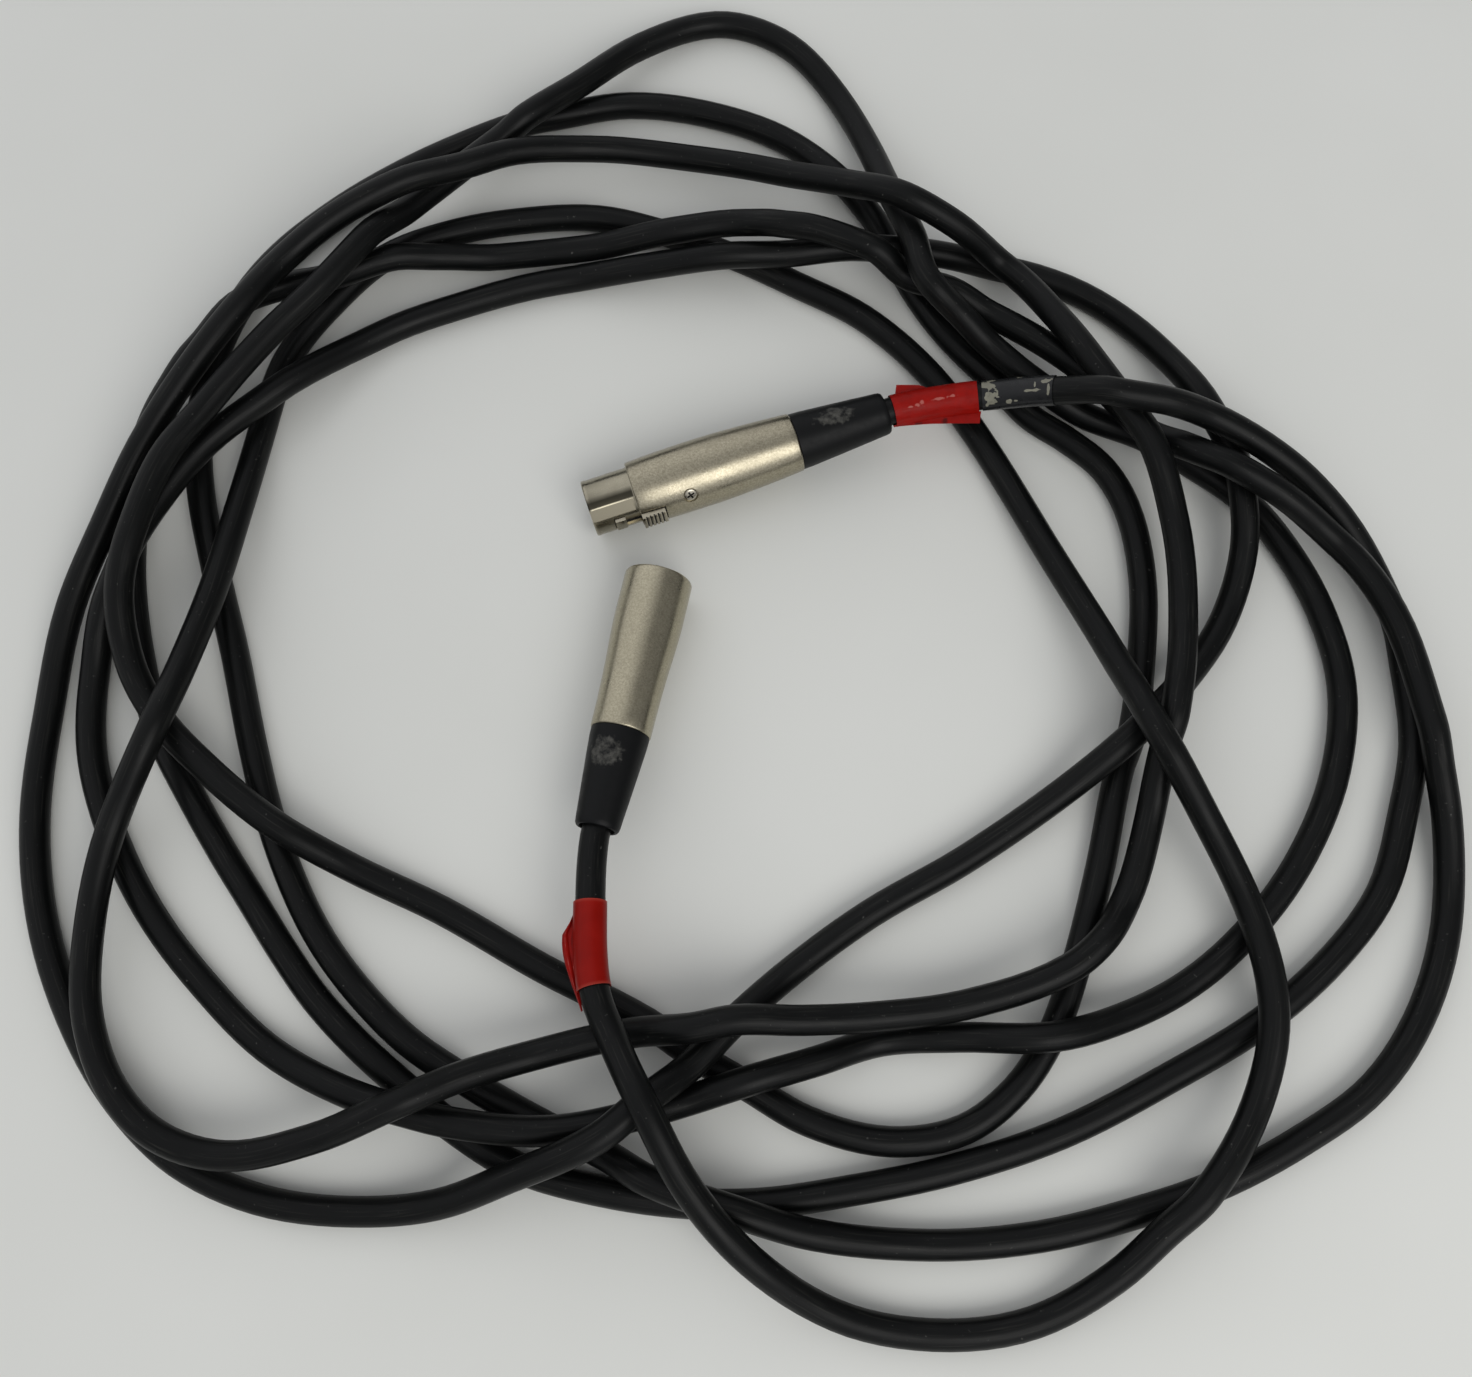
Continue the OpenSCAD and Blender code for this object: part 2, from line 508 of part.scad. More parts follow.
module female_leads() {
    at_female() leads(female_latch_turn, female_insert_end, female_strip_z);
}
module male_leads() {
    at_male() leads(male_latch_turn, male_insert_end, male_strip_z);
}

module male_shell() {
    color("#b4ab94") at_male() difference() {
        rotate_extrude($fn = 96) polygon(concat(
            [[mouth_r + 0.3, 0], [male_d / 2 - 0.4, 0]],
            male_side,
            [[male_tail_d / 2 - 0.3, male_len], [tail_bore_r, male_len], [tail_bore_r, mouth_depth],
                [mouth_r, mouth_depth], [mouth_r, 0.3]]));
        // Pocket inside the mouth that the latch hook drops into
        rotate([0, 0, male_latch_turn]) latch_block([mouth_r - 1, nose_r + hook_rise],
            lever_w + 2 * latch_gap, [hook_z - 2 * latch_gap, hook_z + hook_len + 2 * latch_gap]);
        rotate([0, 0, male_latch_turn + screw_turn]) screw_cut(male_screw_seat, male_screw_z);
    }
}

module male_insert() {
    color("#1c1c1e") at_male() difference() {
        translate([0, 0, mouth_depth]) cylinder(r = tail_bore_r - insert_gap, h = male_insert_len);
        three_contacts(male_latch_turn) cylinder(r = contact_r + insert_gap / 2, h = male_insert_end + 1);
        rotate([0, 0, male_latch_turn + screw_turn]) screw_cut(male_screw_seat, male_screw_z);
    }
}

// Pin contact: round-nosed pin in the mouth, thicker body in the insert, solder cup behind
module male_pins() {
    color("#c9bf9a") at_male() three_contacts(male_latch_turn) difference() {
        union() {
            translate([0, 0, pin_setback + pin_r]) sphere(r = pin_r);
            translate([0, 0, pin_setback + pin_r]) cylinder(r = pin_r, h = mouth_depth - pin_setback - pin_r);
            translate([0, 0, mouth_depth]) cylinder(r = contact_r, h = male_insert_len + cup_len);
        }
        translate([0, 0, male_insert_end - 1]) cylinder(r = cup_r, h = 2 * cup_len);
    }
}

module male_insert_screw() {
    color("#8a8474") at_male() rotate([0, 0, male_latch_turn + screw_turn])
        insert_screw(male_screw_seat, male_screw_z);
}

// Wrapped band round a straight stretch of the cable
module band(line, from, to, wall) {
    on_line(line) difference() {
        translate([0, 0, from]) cylinder(r = jacket_bore_r + wall, h = to - from);
        translate([0, 0, from - 1]) cylinder(r = jacket_bore_r, h = to - from + 2);
    }
}
female_tape_len = norm(female_tape_line[1] - female_tape_line[0]);
male_tape_len = norm(male_tape_line[1] - male_tape_line[0]);
label_len = norm(label_line[1] - label_line[0]);

module female_tape() {
    color("#b3211c") band(female_tape_line, 0.3, female_tape_len - 1, tape_t);
}
module label_sleeve() {
    color("#3a3c3e") band(label_line, 1.1, label_len - 1, sleeve_t);
}
module male_tape() {
    color("#b3211c") band(male_tape_line, 0.5, male_tape_len - 0.8, tape_t);
}

module cable() {
    color("#202124") swept_tube(cable_line);
    echo(cable_length_mm = line_length(cable_line), cable_least_gap_mm = least_distance(cable_line) - cable_d);
}

female_shell();
female_insert();
female_contacts();
female_insert_screw();
female_cable_clamp();
female_boot();
female_leads();
latch_lever();
latch_pin();
latch_spring();
male_shell();
male_insert();
male_pins();
male_insert_screw();
male_cable_clamp();
male_boot();
male_leads();
cable();
female_tape();
label_sleeve();
male_tape();
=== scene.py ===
import math

import bpy
from mathutils import Matrix, Vector, noise


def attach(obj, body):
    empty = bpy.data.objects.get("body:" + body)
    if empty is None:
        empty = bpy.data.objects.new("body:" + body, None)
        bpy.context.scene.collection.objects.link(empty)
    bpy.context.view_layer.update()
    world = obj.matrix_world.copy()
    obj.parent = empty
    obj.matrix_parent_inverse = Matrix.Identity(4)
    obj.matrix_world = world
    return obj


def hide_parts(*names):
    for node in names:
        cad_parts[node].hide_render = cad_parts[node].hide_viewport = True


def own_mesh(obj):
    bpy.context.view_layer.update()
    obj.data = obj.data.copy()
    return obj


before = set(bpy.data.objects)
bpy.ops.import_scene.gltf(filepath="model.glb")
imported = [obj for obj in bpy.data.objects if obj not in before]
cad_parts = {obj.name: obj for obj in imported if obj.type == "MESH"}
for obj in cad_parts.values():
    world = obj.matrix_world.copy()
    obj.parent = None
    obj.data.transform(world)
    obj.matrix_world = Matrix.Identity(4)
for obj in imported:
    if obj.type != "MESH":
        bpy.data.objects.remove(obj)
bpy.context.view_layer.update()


# Table top: pale grey-white laminate that the coil lies on, seen from above and a little in front.
# A wide soft lamp hangs to the right in front of it. The dim room is paler in front, to the left and behind.
def srgb(text):
    """Linear colour with alpha from an sRGB hex value such as #a0b0c0."""
    parts = [int(text[i:i + 2], 16) / 255 for i in (1, 3, 5)]
    return [c / 12.92 if c <= 0.04045 else ((c + 0.055) / 1.055) ** 2.4 for c in parts] + [1.0]


def add_node(tree, kind, settings, links):
    """Adds a node, sets its properties and sockets, and links its inputs. A colour mix has its share at
    input 0, its two colours at 6 and 7, and gives the mixed colour at output 2."""
    node = tree.nodes.new(kind)
    for name, value in settings.items():
        if isinstance(name, str) and hasattr(node, name):
            setattr(node, name, value)
        else:
            node.inputs[name].default_value = value
    for name, source in links.items():
        tree.links.new(source, node.inputs[name])
    return node


def start_finish(name):
    """Starts a material. Gives it, its node tree, its shader and the coordinates that its patterns read."""
    finish = bpy.data.materials.new(name)
    finish.use_nodes = True
    tree = finish.node_tree
    return finish, tree, tree.nodes["Principled BSDF"], add_node(tree, "ShaderNodeTexCoord", {}, {}).outputs


scene = bpy.context.scene
scene.view_settings.view_transform = "Standard"
camera_tilt = math.radians(14.3)
bpy.ops.object.select_all(action="DESELECT")
bpy.ops.object.camera_add(location=(-0.0006, -0.1248, 0.3992), rotation=(camera_tilt, 0, 0))
camera = bpy.context.object
camera.name = "camera"
camera.data.sensor_width = 36
camera.data.lens = 36.07
camera.data.clip_start = 0.01
scene.camera = camera

bpy.ops.mesh.primitive_plane_add(size=3.0, location=(0, 0, 0))
table_top = bpy.context.object
table_top.name = "table_top"

# Matte laminate: a pale grey that clouds over about 11 cm, with no gloss to speak of
laminate, tree, shader, place = start_finish("pale matte laminate")
shader.inputs["Roughness"].default_value = 0.55
cloud = add_node(tree, "ShaderNodeTexNoise", {"Scale": 9.0, "Detail": 3.0}, {"Vector": place["Object"]})
tone = add_node(tree, "ShaderNodeMix", {"data_type": "RGBA", 6: srgb("#d5d6d1"), 7: srgb("#dfe0dc")},
                {0: cloud.outputs["Fac"]})
tree.links.new(tone.outputs[2], shader.inputs["Base Color"])
table_top.data.materials.append(laminate)

bpy.ops.object.light_add(type="AREA", location=(0.55, -0.86, 1.12))
soft_lamp = bpy.context.object
soft_lamp.name = "soft_lamp"
soft_lamp.rotation_euler = (-soft_lamp.location).to_track_quat("-Z", "Y").to_euler()
soft_lamp.data.size = 0.95
soft_lamp.data.energy = 8.0
soft_lamp.data.color = (1.0, 0.985, 0.955)

room = bpy.data.worlds.new("room")
scene.world = room
room.use_nodes = True
tree = room.node_tree
sky = tree.nodes["Background"]
sky.inputs["Color"].default_value = srgb("#fbfcff")
place = add_node(tree, "ShaderNodeTexCoord", {}, {})
total = add_node(tree, "ShaderNodeValue", {}, {})
total.outputs[0].default_value = 0.24
# The paler parts of the room: the way to each, the cosines at its edge and its middle, and how much it adds
for way, edge, middle, strength in (
        ((0.34, -0.76, 0.55), 0.62, 0.97, 0.6),
        ((-0.68, 0.42, 0.6), 0.25, 0.84, 0.6),
        ((-0.1, 0.9, 0.42), 0.7, 0.95, 0.16)):
    toward = add_node(tree, "ShaderNodeVectorMath", {"operation": "DOT_PRODUCT", 1: way},
                      {0: place.outputs["Generated"]})
    glow = add_node(tree, "ShaderNodeMapRange", {"From Min": edge, "From Max": middle, "To Max": strength},
                    {"Value": toward.outputs["Value"]})
    total = add_node(tree, "ShaderNodeMath", {"operation": "ADD"}, {0: total.outputs[0], 1: glow.outputs[0]})
tree.links.new(total.outputs[0], sky.inputs["Strength"])


# Microphone cable: a soft black PVC jacket over the inner leads, 7.8 mm thick and 6.5 m long.
# It leaves the male boot, lies in about seven loose turns on itself, and ends in the female boot.
# Each point of the route is x, y in mm and the layer that the jacket lies in, counted from the table.
route = [
    (-38, -84, 1.7), (-36, -107, 2.1), (-31, -119, 2.4), (-23, -134, 3.2), (-12, -154, 2.6),
    (3, -171, 1.7), (24, -185, 0.3), (48, -190, 0), (74, -187, 0), (94, -176, 0.4), (106, -165, 0.9),
    (116, -156, 1.2), (131, -135, 0.9), (137, -112, 1.1), (134, -89, 1.1), (124, -66, 1.5),
    (110, -44, 2.7), (106, -33, 2.3), (101, -17, 1.3), (86, 17, 0.4), (71, 48, 0), (55, 72, 0),
    (37, 89, 0), (17, 100, 0), (-1, 109, 0),
    (-22, 117, 0), (-42, 122, 0), (-66, 121, 0), (-86, 117, 0), (-105, 109, 0), (-120, 94, 0),
    (-132, 76, 0), (-137, 57, 0), (-140, 30, 0.6), (-144, 1, 1.2), (-149, -21, 1.6), (-153, -39, 2.2),
    (-165, -65, 1.2), (-169, -91, 0.9), (-166, -114, 1.1), (-158, -131, 1.1), (-146, -142, 1.1),
    (-129, -147, 1), (-107, -143, 1.2), (-84, -134, 2.2), (-70, -128, 1.7), (-50, -122, 1.1),
    (-27, -117, 1.2), (-12, -116, 1.8), (-1, -114, 1.9), (16, -114, 1.5), (35, -113, 1.1), (58, -110, 0.9),
    (85, -101, 1.1), (94, -94, 1.1), (102, -83, 0.6), (109, -63, 0.7), (113, -43, 1.5), (115, -35, 2),
    (117, -26, 2), (121, -4, 1.4), (120, 20, 1.6), (113, 43, 2.2), (105, 56, 2.2),
    (98, 68, 2.1), (92, 79, 1.8), (78, 100, 1.1), (62, 107, 2.4), (47, 113, 3), (32, 122, 2.1),
    (10, 133, 0.9), (-17, 140, 0.5), (-44, 141, 0.8), (-66, 136, 1.5), (-80, 129, 1.9), (-98, 121, 2.3),
    (-115, 111, 2.2), (-130, 98, 2), (-141, 82, 2.2), (-154, 64, 1.9), (-167, 43, 1.4), (-177, 22, 0.8),
    (-186, -1, 0.3), (-190, -33, 0), (-190, -63, 0), (-184, -91, 0), (-172, -117, 0), (-159, -135, 0),
    (-143, -149, 0), (-122, -158, 0), (-98, -161, 0), (-76, -159, 0.4), (-57, -152, 1.3), (-34, -142, 2.2),
    (-24, -134, 2.1), (-12, -125, 1.2), (-1, -114, 0.8), (14, -101, 0.1), (35, -86, 0), (60, -72, 0),
    (87, -54, 0.3), (106, -39, 1.1), (113, -32, 1), (121, -24, 0.6), (135, -5, 0.3), (141, 14, 0.7),
    (141, 28, 1.1), (140, 41, 1), (134, 56, 1), (123, 77, 0.3), (106, 94, 0), (79, 105, 0),
    (61, 106, 0.7), (45, 106, 1.1), (33, 107, 1), (15, 105, 1), (-1, 104, 1.1), (-26, 103, 0.6),
    (-53, 101, 0), (-79, 94, 0), (-105, 83, 0.1), (-133, 60, 1.1), (-150, 45, 1.1), (-160, 31, 1.1),
    (-168, 15, 1.2), (-171, 6, 1.1), (-175, -3, 0.7), (-178, -22, 0.1), (-177, -41, 0), (-170, -62, 0),
    (-157, -85, 0), (-140, -105, 0), (-122, -121, 0.1), (-102, -131, 0.5), (-85, -136, 1.1),
    (-72, -139, 1.1), (-48, -141, 1.1), (-29, -138, 1), (-14, -134, 0.8), (2, -129, 1.1), (20, -124, 0.6),
    (37, -119, 0), (57, -118, 0.4), (80, -118, 1.1), (100, -113, 0.4), (119, -104, 0), (137, -89, 0),
    (152, -70, 0), (163, -47, 0), (167, -23, 0), (163, -1, 0), (155, 17, 0), (145, 31, 0), (131, 42, 0),
    (117, 51, 0), (101, 57, 0.1), (84, 66, 0.8),
    (73, 75, 1), (64, 82, 1.6), (54, 89, 2.4), (50, 105, 2.1), (45, 122, 1.4), (39, 144, 0.5),
    (28, 168, 0), (13, 184, 0), (-7, 190, 0), (-30, 180, 0.3), (-49, 162, 0.9), (-63, 150, 1.2),
    (-71, 144, 0.9), (-82, 135, 0.8), (-96, 120, 1.1), (-107, 105, 2), (-118, 90, 2.1), (-132, 74, 2.1),
    (-148, 52, 2.1), (-158, 36, 2.2), (-164, 16, 2.2), (-167, -1, 1.9), (-164, -20, 1.3), (-156, -34, 1.1),
    (-142, -48, 1.1), (-123, -63, 1.1), (-103, -74, 0.3), (-79, -85, 0), (-52, -100, 0), (-24, -114, 0),
    (-12, -122, 0), (2, -130, 0), (18, -139, 0), (39, -144, 0), (58, -141, 0), (72, -131, 0),
    (82, -117, 0), (89, -100, 0), (97, -74, 0), (104, -47, 0), (108, -37, 0), (112, -16, 0), (114, 8, 0),
    (111, 29, 0), (105, 41, 0), (95, 50, 0), (85, 57, 0), (77, 66, 0), (61, 84, 0), (52, 98, 0),
    (46, 111, 0), (40, 123, 0), (32, 132, 0.3), (17, 147, 0), (-6, 157, 0), (-33, 161, 0), (-56, 157, 0),
    (-65, 155, 0), (-86, 146, 0), (-104, 136, 0), (-121, 124, 0), (-137, 109, 0), (-147, 94, 0),
    (-154, 74, 0), (-156, 55, 0), (-154, 35, 0), (-148, 12, 0), (-140, -14, 0), (-133, -40, 0),
    (-126, -62, 0), (-117, -82, 0), (-109, -95, 0), (-98, -108, 0), (-86, -119, 0), (-72, -128, 0),
    (-50, -140, 0), (-34, -147, 0.3), (-22, -153, 1.1), (-1, -160, 1.2), (19, -166, 0.6), (48, -169, 0),
    (76, -167, 0), (102, -161, 0), (121, -155, 0), (144, -144, 0), (165, -130, 0), (180, -110, 0),
    (189, -85, 0), (190, -61, 0.4), (188, -48, 0.8), (186, -35, 1.1), (179, -5, 1.1), (167, 14, 1.1),
    (150, 26, 1.9), (136, 34, 2.2), (125, 41, 1.8), (115, 49, 1.1), (104, 62, 1.1), (91, 74, 1),
    (73, 86, 0.9),
    (61, 92, 1.3), (50, 96, 1.2), (38, 102, 2), (22, 108, 2), (12, 110, 1.9), (2, 113, 1.4),
    (-19, 112, 1.1), (-44, 110, 0.4), (-71, 108, 0.2), (-88, 106, 0.6), (-102, 103, 1.1), (-120, 97, 1),
    (-132, 95, 0.9), (-145, 88, 1.1), (-155, 74, 1.1), (-165, 63, 0.4), (-171, 46, 0.2), (-172, 29, 0),
    (-171, 8, 0), (-166, -16, 0), (-159, -36, 0), (-148, -55, 0), (-139, -69, 0), (-130, -82, 0),
    (-121, -95, 0), (-111, -108, 0), (-99, -120, 0), (-87, -130, 0), (-74, -140, 0), (-57, -150, 0),
    (-35, -156, 0), (-12, -159, 0), (6, -159, 0), (28, -156, 0), (54, -151, 0), (83, -142, 0),
    (112, -128, 0), (137, -114, 0), (158, -97, 0), (172, -80, 0), (180, -59, 0), (185, -40, 0),
    (185, -19, 0), (183, -1, 0), (169, 24, 0.7), (152, 37, 1.7), (130, 48, 2.4), (115, 50, 3.1),
    (102, 52, 3.2), (89, 56, 2.3), (68, 58, 1.4),
]
jacket_radius = 0.0039
layer_pitch = 0.0087


def heading(turn, rise):
    """Direction that points at a turn about Z and rises above the table, both in degrees."""
    turn, rise = math.radians(turn), math.radians(rise)
    return Vector((math.cos(rise) * math.cos(turn), math.cos(rise) * math.sin(turn), math.sin(rise)))


# Each connector: its nose, the turn and rise of its axis, and how far behind the nose, in metres,
# the jacket ends inside it and its boot's lip stands. The jacket runs on straight for 2 mm past the lip.
male_nose, male_turn, male_rise = Vector((-0.022, 0.006, 0.0096)), 258, 5
male_jacket_end, male_lip = 0.0359, 0.073
female_nose, female_turn, female_rise = Vector((-0.042, 0.027, 0.0086)), 18, 3
female_jacket_end, female_lip = 0.0512, 0.0883
straight_run = 0.002
male_way, female_way = heading(male_turn, male_rise), heading(female_turn, female_rise)
line = [male_nose + d * male_way for d in (male_jacket_end, male_lip, male_lip + straight_run)]
route_start = len(line)
line += [Vector((x / 1000, y / 1000, jacket_radius + layer * layer_pitch)) for x, y, layer in route]
route_end = len(line) - 1
line += [female_nose + d * female_way for d in (female_lip + straight_run, female_lip, female_jacket_end)]

# A bend eases in and out of each point, and a height never swings past its own points
slopes = []
for i, here in enumerate(line):
    before = here - line[i - 1] if i > 0 else line[1] - here
    after = line[i + 1] - here if i < len(line) - 1 else before
    flat_before, flat_after = before.xy.length, after.xy.length
    climb_before, climb_after = before.z / flat_before, after.z / flat_after
    climb = 0.0
    if climb_before * climb_after > 0:
        climb = 2 * climb_before * climb_after / (climb_before + climb_after)
    flat = (before.xy.normalized() + after.xy.normalized()).normalized()
    slopes.append((Vector((flat.x, flat.y, climb)), flat_before / 3, flat_after / 3))

jacket_curve = bpy.data.curves.new("cable_jacket", "CURVE")
jacket_curve.dimensions = "3D"
jacket_curve.resolution_u = 6
jacket_curve.bevel_depth = jacket_radius
jacket_curve.bevel_resolution = 5
jacket_curve.use_fill_caps = True
spline = jacket_curve.splines.new("BEZIER")
spline.bezier_points.add(len(line) - 1)
for point, here, (slope, reach_before, reach_after) in zip(spline.bezier_points, line, slopes):
    point.handle_left_type = point.handle_right_type = "FREE"
    point.co = here
    point.handle_left = here - slope * reach_before
    point.handle_right = here + slope * reach_after
cable_jacket = bpy.data.objects.new("cable_jacket", jacket_curve)
scene.collection.objects.link(cable_jacket)

# Soft PVC, extruded: nearly black, with a grain of 0.4 mm and a dull sheen that shifts over about 18 mm.
# Specks of dust, 1 mm across, lie on it
jacket_pvc, tree, shader, place = start_finish("scuffed black pvc jacket")
shader.inputs["Specular IOR Level"].default_value = 0.15
patches = add_node(tree, "ShaderNodeTexNoise", {"Scale": 55.0, "Detail": 4.0}, {"Vector": place["Object"]})
patch_tone = add_node(tree, "ShaderNodeMix", {"data_type": "RGBA", 6: srgb("#050606"), 7: srgb("#0d0e0e")},
                      {0: patches.outputs["Fac"]})
specks = add_node(tree, "ShaderNodeTexNoise", {"Scale": 900.0, "Detail": 2.0}, {"Vector": place["Object"]})
dust = add_node(tree, "ShaderNodeMapRange", {"From Min": 0.71, "From Max": 0.8, "To Max": 0.4},
                {"Value": specks.outputs["Fac"]})
dusty = add_node(tree, "ShaderNodeMix", {"data_type": "RGBA", 7: srgb("#6a6a66")},
                 {0: dust.outputs[0], 6: patch_tone.outputs[2]})
# Handling leaves fine pale rubs, 15 mm long and half a millimetre wide: as coarse as they need to show
along = add_node(tree, "ShaderNodeMapping", {"Scale": (420.0, 44.0, 1.0)}, {"Vector": place["UV"]})
rubs = add_node(tree, "ShaderNodeTexNoise", {"Scale": 1.0, "Detail": 2.0, "Roughness": 0.6},
                {"Vector": along.outputs[0]})
rub_mask = add_node(tree, "ShaderNodeMapRange", {"From Min": 0.56, "From Max": 0.8, "To Max": 0.3},
                    {"Value": rubs.outputs["Fac"]})
rubbed = add_node(tree, "ShaderNodeMix", {"data_type": "RGBA", 7: srgb("#44443f")},
                  {0: rub_mask.outputs[0], 6: dusty.outputs[2]})
tree.links.new(rubbed.outputs[2], shader.inputs["Base Color"])
sheen_map = add_node(tree, "ShaderNodeMapRange",
                     {"From Min": 0.3, "From Max": 0.7, "To Min": 0.33, "To Max": 0.46},
                     {"Value": patches.outputs["Fac"]})
tree.links.new(sheen_map.outputs[0], shader.inputs["Roughness"])
grain = add_node(tree, "ShaderNodeTexNoise", {"Scale": 2600.0, "Detail": 3.0}, {"Vector": place["Object"]})
bump = add_node(tree, "ShaderNodeBump", {"Strength": 0.18, "Distance": 0.00008},
                {"Height": grain.outputs["Fac"]})
tree.links.new(bump.outputs[0], shader.inputs["Normal"])
jacket_curve.materials.append(jacket_pvc)
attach(cable_jacket, "lead")
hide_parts("cable")


# Label sleeve: a clear film shrunk over a dark label strip beside the female tape.
# The label has flaked, and a few bare silver scraps of it are left under the film.
def wrap(name, first, last, rows, shape, thickness):
    """Lays a film round the jacket from one point of its line to the next. At the share u of the film's
    length and w of its way round, shape(u, w) gives the share of the line, and two places in mm across it."""
    bpy.ops.object.select_all(action="DESELECT")
    columns = 24
    bpy.ops.mesh.primitive_grid_add(x_subdivisions=columns, y_subdivisions=rows, size=1)
    film = bpy.context.object
    film.name = name
    step = 1 if last > first else -1
    guide = bpy.data.curves.new(name + "_guide", "CURVE")
    guide.dimensions = "3D"
    guide.twist_mode = "Z_UP"
    guide.resolution_u = 24
    path = guide.splines.new("BEZIER")
    path.bezier_points.add(1)
    for point, i in zip(path.bezier_points, (first, last)):
        slope, reach_before, reach_after = slopes[i]
        ahead, behind = (reach_after, reach_before) if step > 0 else (reach_before, reach_after)
        point.handle_left_type = point.handle_right_type = "FREE"
        point.co = line[i]
        point.handle_right = line[i] + step * slope * ahead
        point.handle_left = line[i] - step * slope * behind
    length = path.calc_length()
    for vertex in film.data.vertices:
        along, across, up = shape(vertex.co.x + 0.5, vertex.co.y + 0.5)
        vertex.co = (along * length, across / 1000, up / 1000)
    bpy.ops.object.mode_set(mode="EDIT")
    bpy.ops.mesh.select_all(action="SELECT")
    bpy.ops.mesh.remove_doubles(threshold=0.00001)
    bpy.ops.mesh.normals_make_consistent(inside=False)
    bpy.ops.object.mode_set(mode="OBJECT")
    guide_object = bpy.data.objects.new(name + "_guide", guide)
    scene.collection.objects.link(guide_object)
    film.modifiers.new("wall", "SOLIDIFY").thickness = thickness
    film.modifiers["wall"].offset = 0
    film.modifiers.new("follow", "CURVE").object = guide_object
    bpy.ops.object.modifier_apply(modifier="wall")
    bpy.ops.object.modifier_apply(modifier="follow")
    bpy.data.objects.remove(guide_object)
    bpy.ops.object.shade_smooth_by_angle(angle=math.radians(50))
    return film


def label_shape(u, w):
    """Goes round snugly, slightly three-sided and uneven along the cable."""
    angle = 2 * math.pi * w
    across, up = math.cos(angle), math.sin(angle)
    radius = 4.12 + 0.05 * math.sin(3 * angle) + 0.05 * noise.noise(Vector((u * 5, across, up)))
    return 0.05 + 0.91 * u, radius * across, radius * up


label_film = wrap("label_film", route_end - 1, route_end, 40, label_shape, 0.0002)


def marks(tree, place, spots, size, jag, noise_scale, soft=0.04):
    """Mask of ragged marks on a film of the given length and way round, in mm. A spot is its place along and
    round, as shares, and its half lengths in mm. jag frays a mark's outline and soft blurs it, as shares."""
    ragged = add_node(tree, "ShaderNodeTexNoise", {"Scale": noise_scale, "Detail": 4.0},
                      {"Vector": place["Object"]})
    ragged = add_node(tree, "ShaderNodeMapRange",
                      {"From Min": 0.3, "From Max": 0.7, "To Min": -jag, "To Max": jag},
                      {"Value": ragged.outputs["Fac"]})
    total = None
    for u, w, half_length, half_width in spots:
        scale = (size[0] / half_length, size[1] / half_width, 0)
        local = add_node(tree, "ShaderNodeMapping",
                         {"Scale": scale, "Location": (-u * scale[0], -w * scale[1], 0)},
                         {"Vector": place["UV"]})
        away = add_node(tree, "ShaderNodeVectorMath", {"operation": "LENGTH"}, {0: local.outputs[0]})
        rough_away = add_node(tree, "ShaderNodeMath", {"operation": "ADD"},
                              {0: away.outputs["Value"], 1: ragged.outputs[0]})
        mark = add_node(tree, "ShaderNodeMapRange", {"From Min": 1 + soft, "From Max": 1 - soft},
                        {"Value": rough_away.outputs[0]})
        total = mark if total is None else add_node(tree, "ShaderNodeMath", {"operation": "MAXIMUM"},
                                                    {0: total.outputs[0], 1: mark.outputs[0]})
    return total


# Clear shrunk film: smooth and glossy, its sheen and the scraps' tone shifting over about 1.5 mm
clear_film, tree, shader, place = start_finish("clear film over a flaked label")
shader.inputs["Specular IOR Level"].default_value = 0.32
label_size = (22, 26)
flakes = marks(tree, place, [
    (0.91, 0.306, 1.9, 1.9), (0.87, 0.15, 1.9, 2.0), (0.63, 0.085, 0.9, 0.8), (0.5, 0.09, 0.7, 0.3),
    (0.27, 0.19, 2.3, 0.35), (0.24, 0.26, 0.3, 1.1), (0.08, 0.287, 1.4, 0.8), (0.05, 0.2, 0.3, 1.6),
    (0.5, 0.42, 1.1, 1.0), (0.2, 0.6, 1.8, 1.2)], label_size, jag=0.75, noise_scale=520.0)
flake_shade = add_node(tree, "ShaderNodeTexNoise", {"Scale": 700.0, "Detail": 3.0},
                       {"Vector": place["Object"]})
flake_tone = add_node(tree, "ShaderNodeMix", {"data_type": "RGBA", 6: srgb("#5f5e54"), 7: srgb("#8b897a")},
                      {0: flake_shade.outputs["Fac"]})
flaked = add_node(tree, "ShaderNodeMix", {"data_type": "RGBA", 6: srgb("#131416")},
                  {0: flakes.outputs[0], 7: flake_tone.outputs[2]})
tree.links.new(flaked.outputs[2], shader.inputs["Base Color"])
film_gloss = add_node(tree, "ShaderNodeMapRange",
                      {"From Min": 0.3, "From Max": 0.7, "To Min": 0.24, "To Max": 0.4},
                      {"Value": flake_shade.outputs["Fac"]})
tree.links.new(film_gloss.outputs[0], shader.inputs["Roughness"])
label_film.data.materials.append(clear_film)
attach(label_film, "lead")
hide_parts("label_sleeve")


# Female tape: red vinyl tape, wound once askew round the cable beside the boot and pressed to itself.
# Its two ends stand out as thin wedges, a long one below and a short one above, with a few creases.
tape_thickness = 0.00013


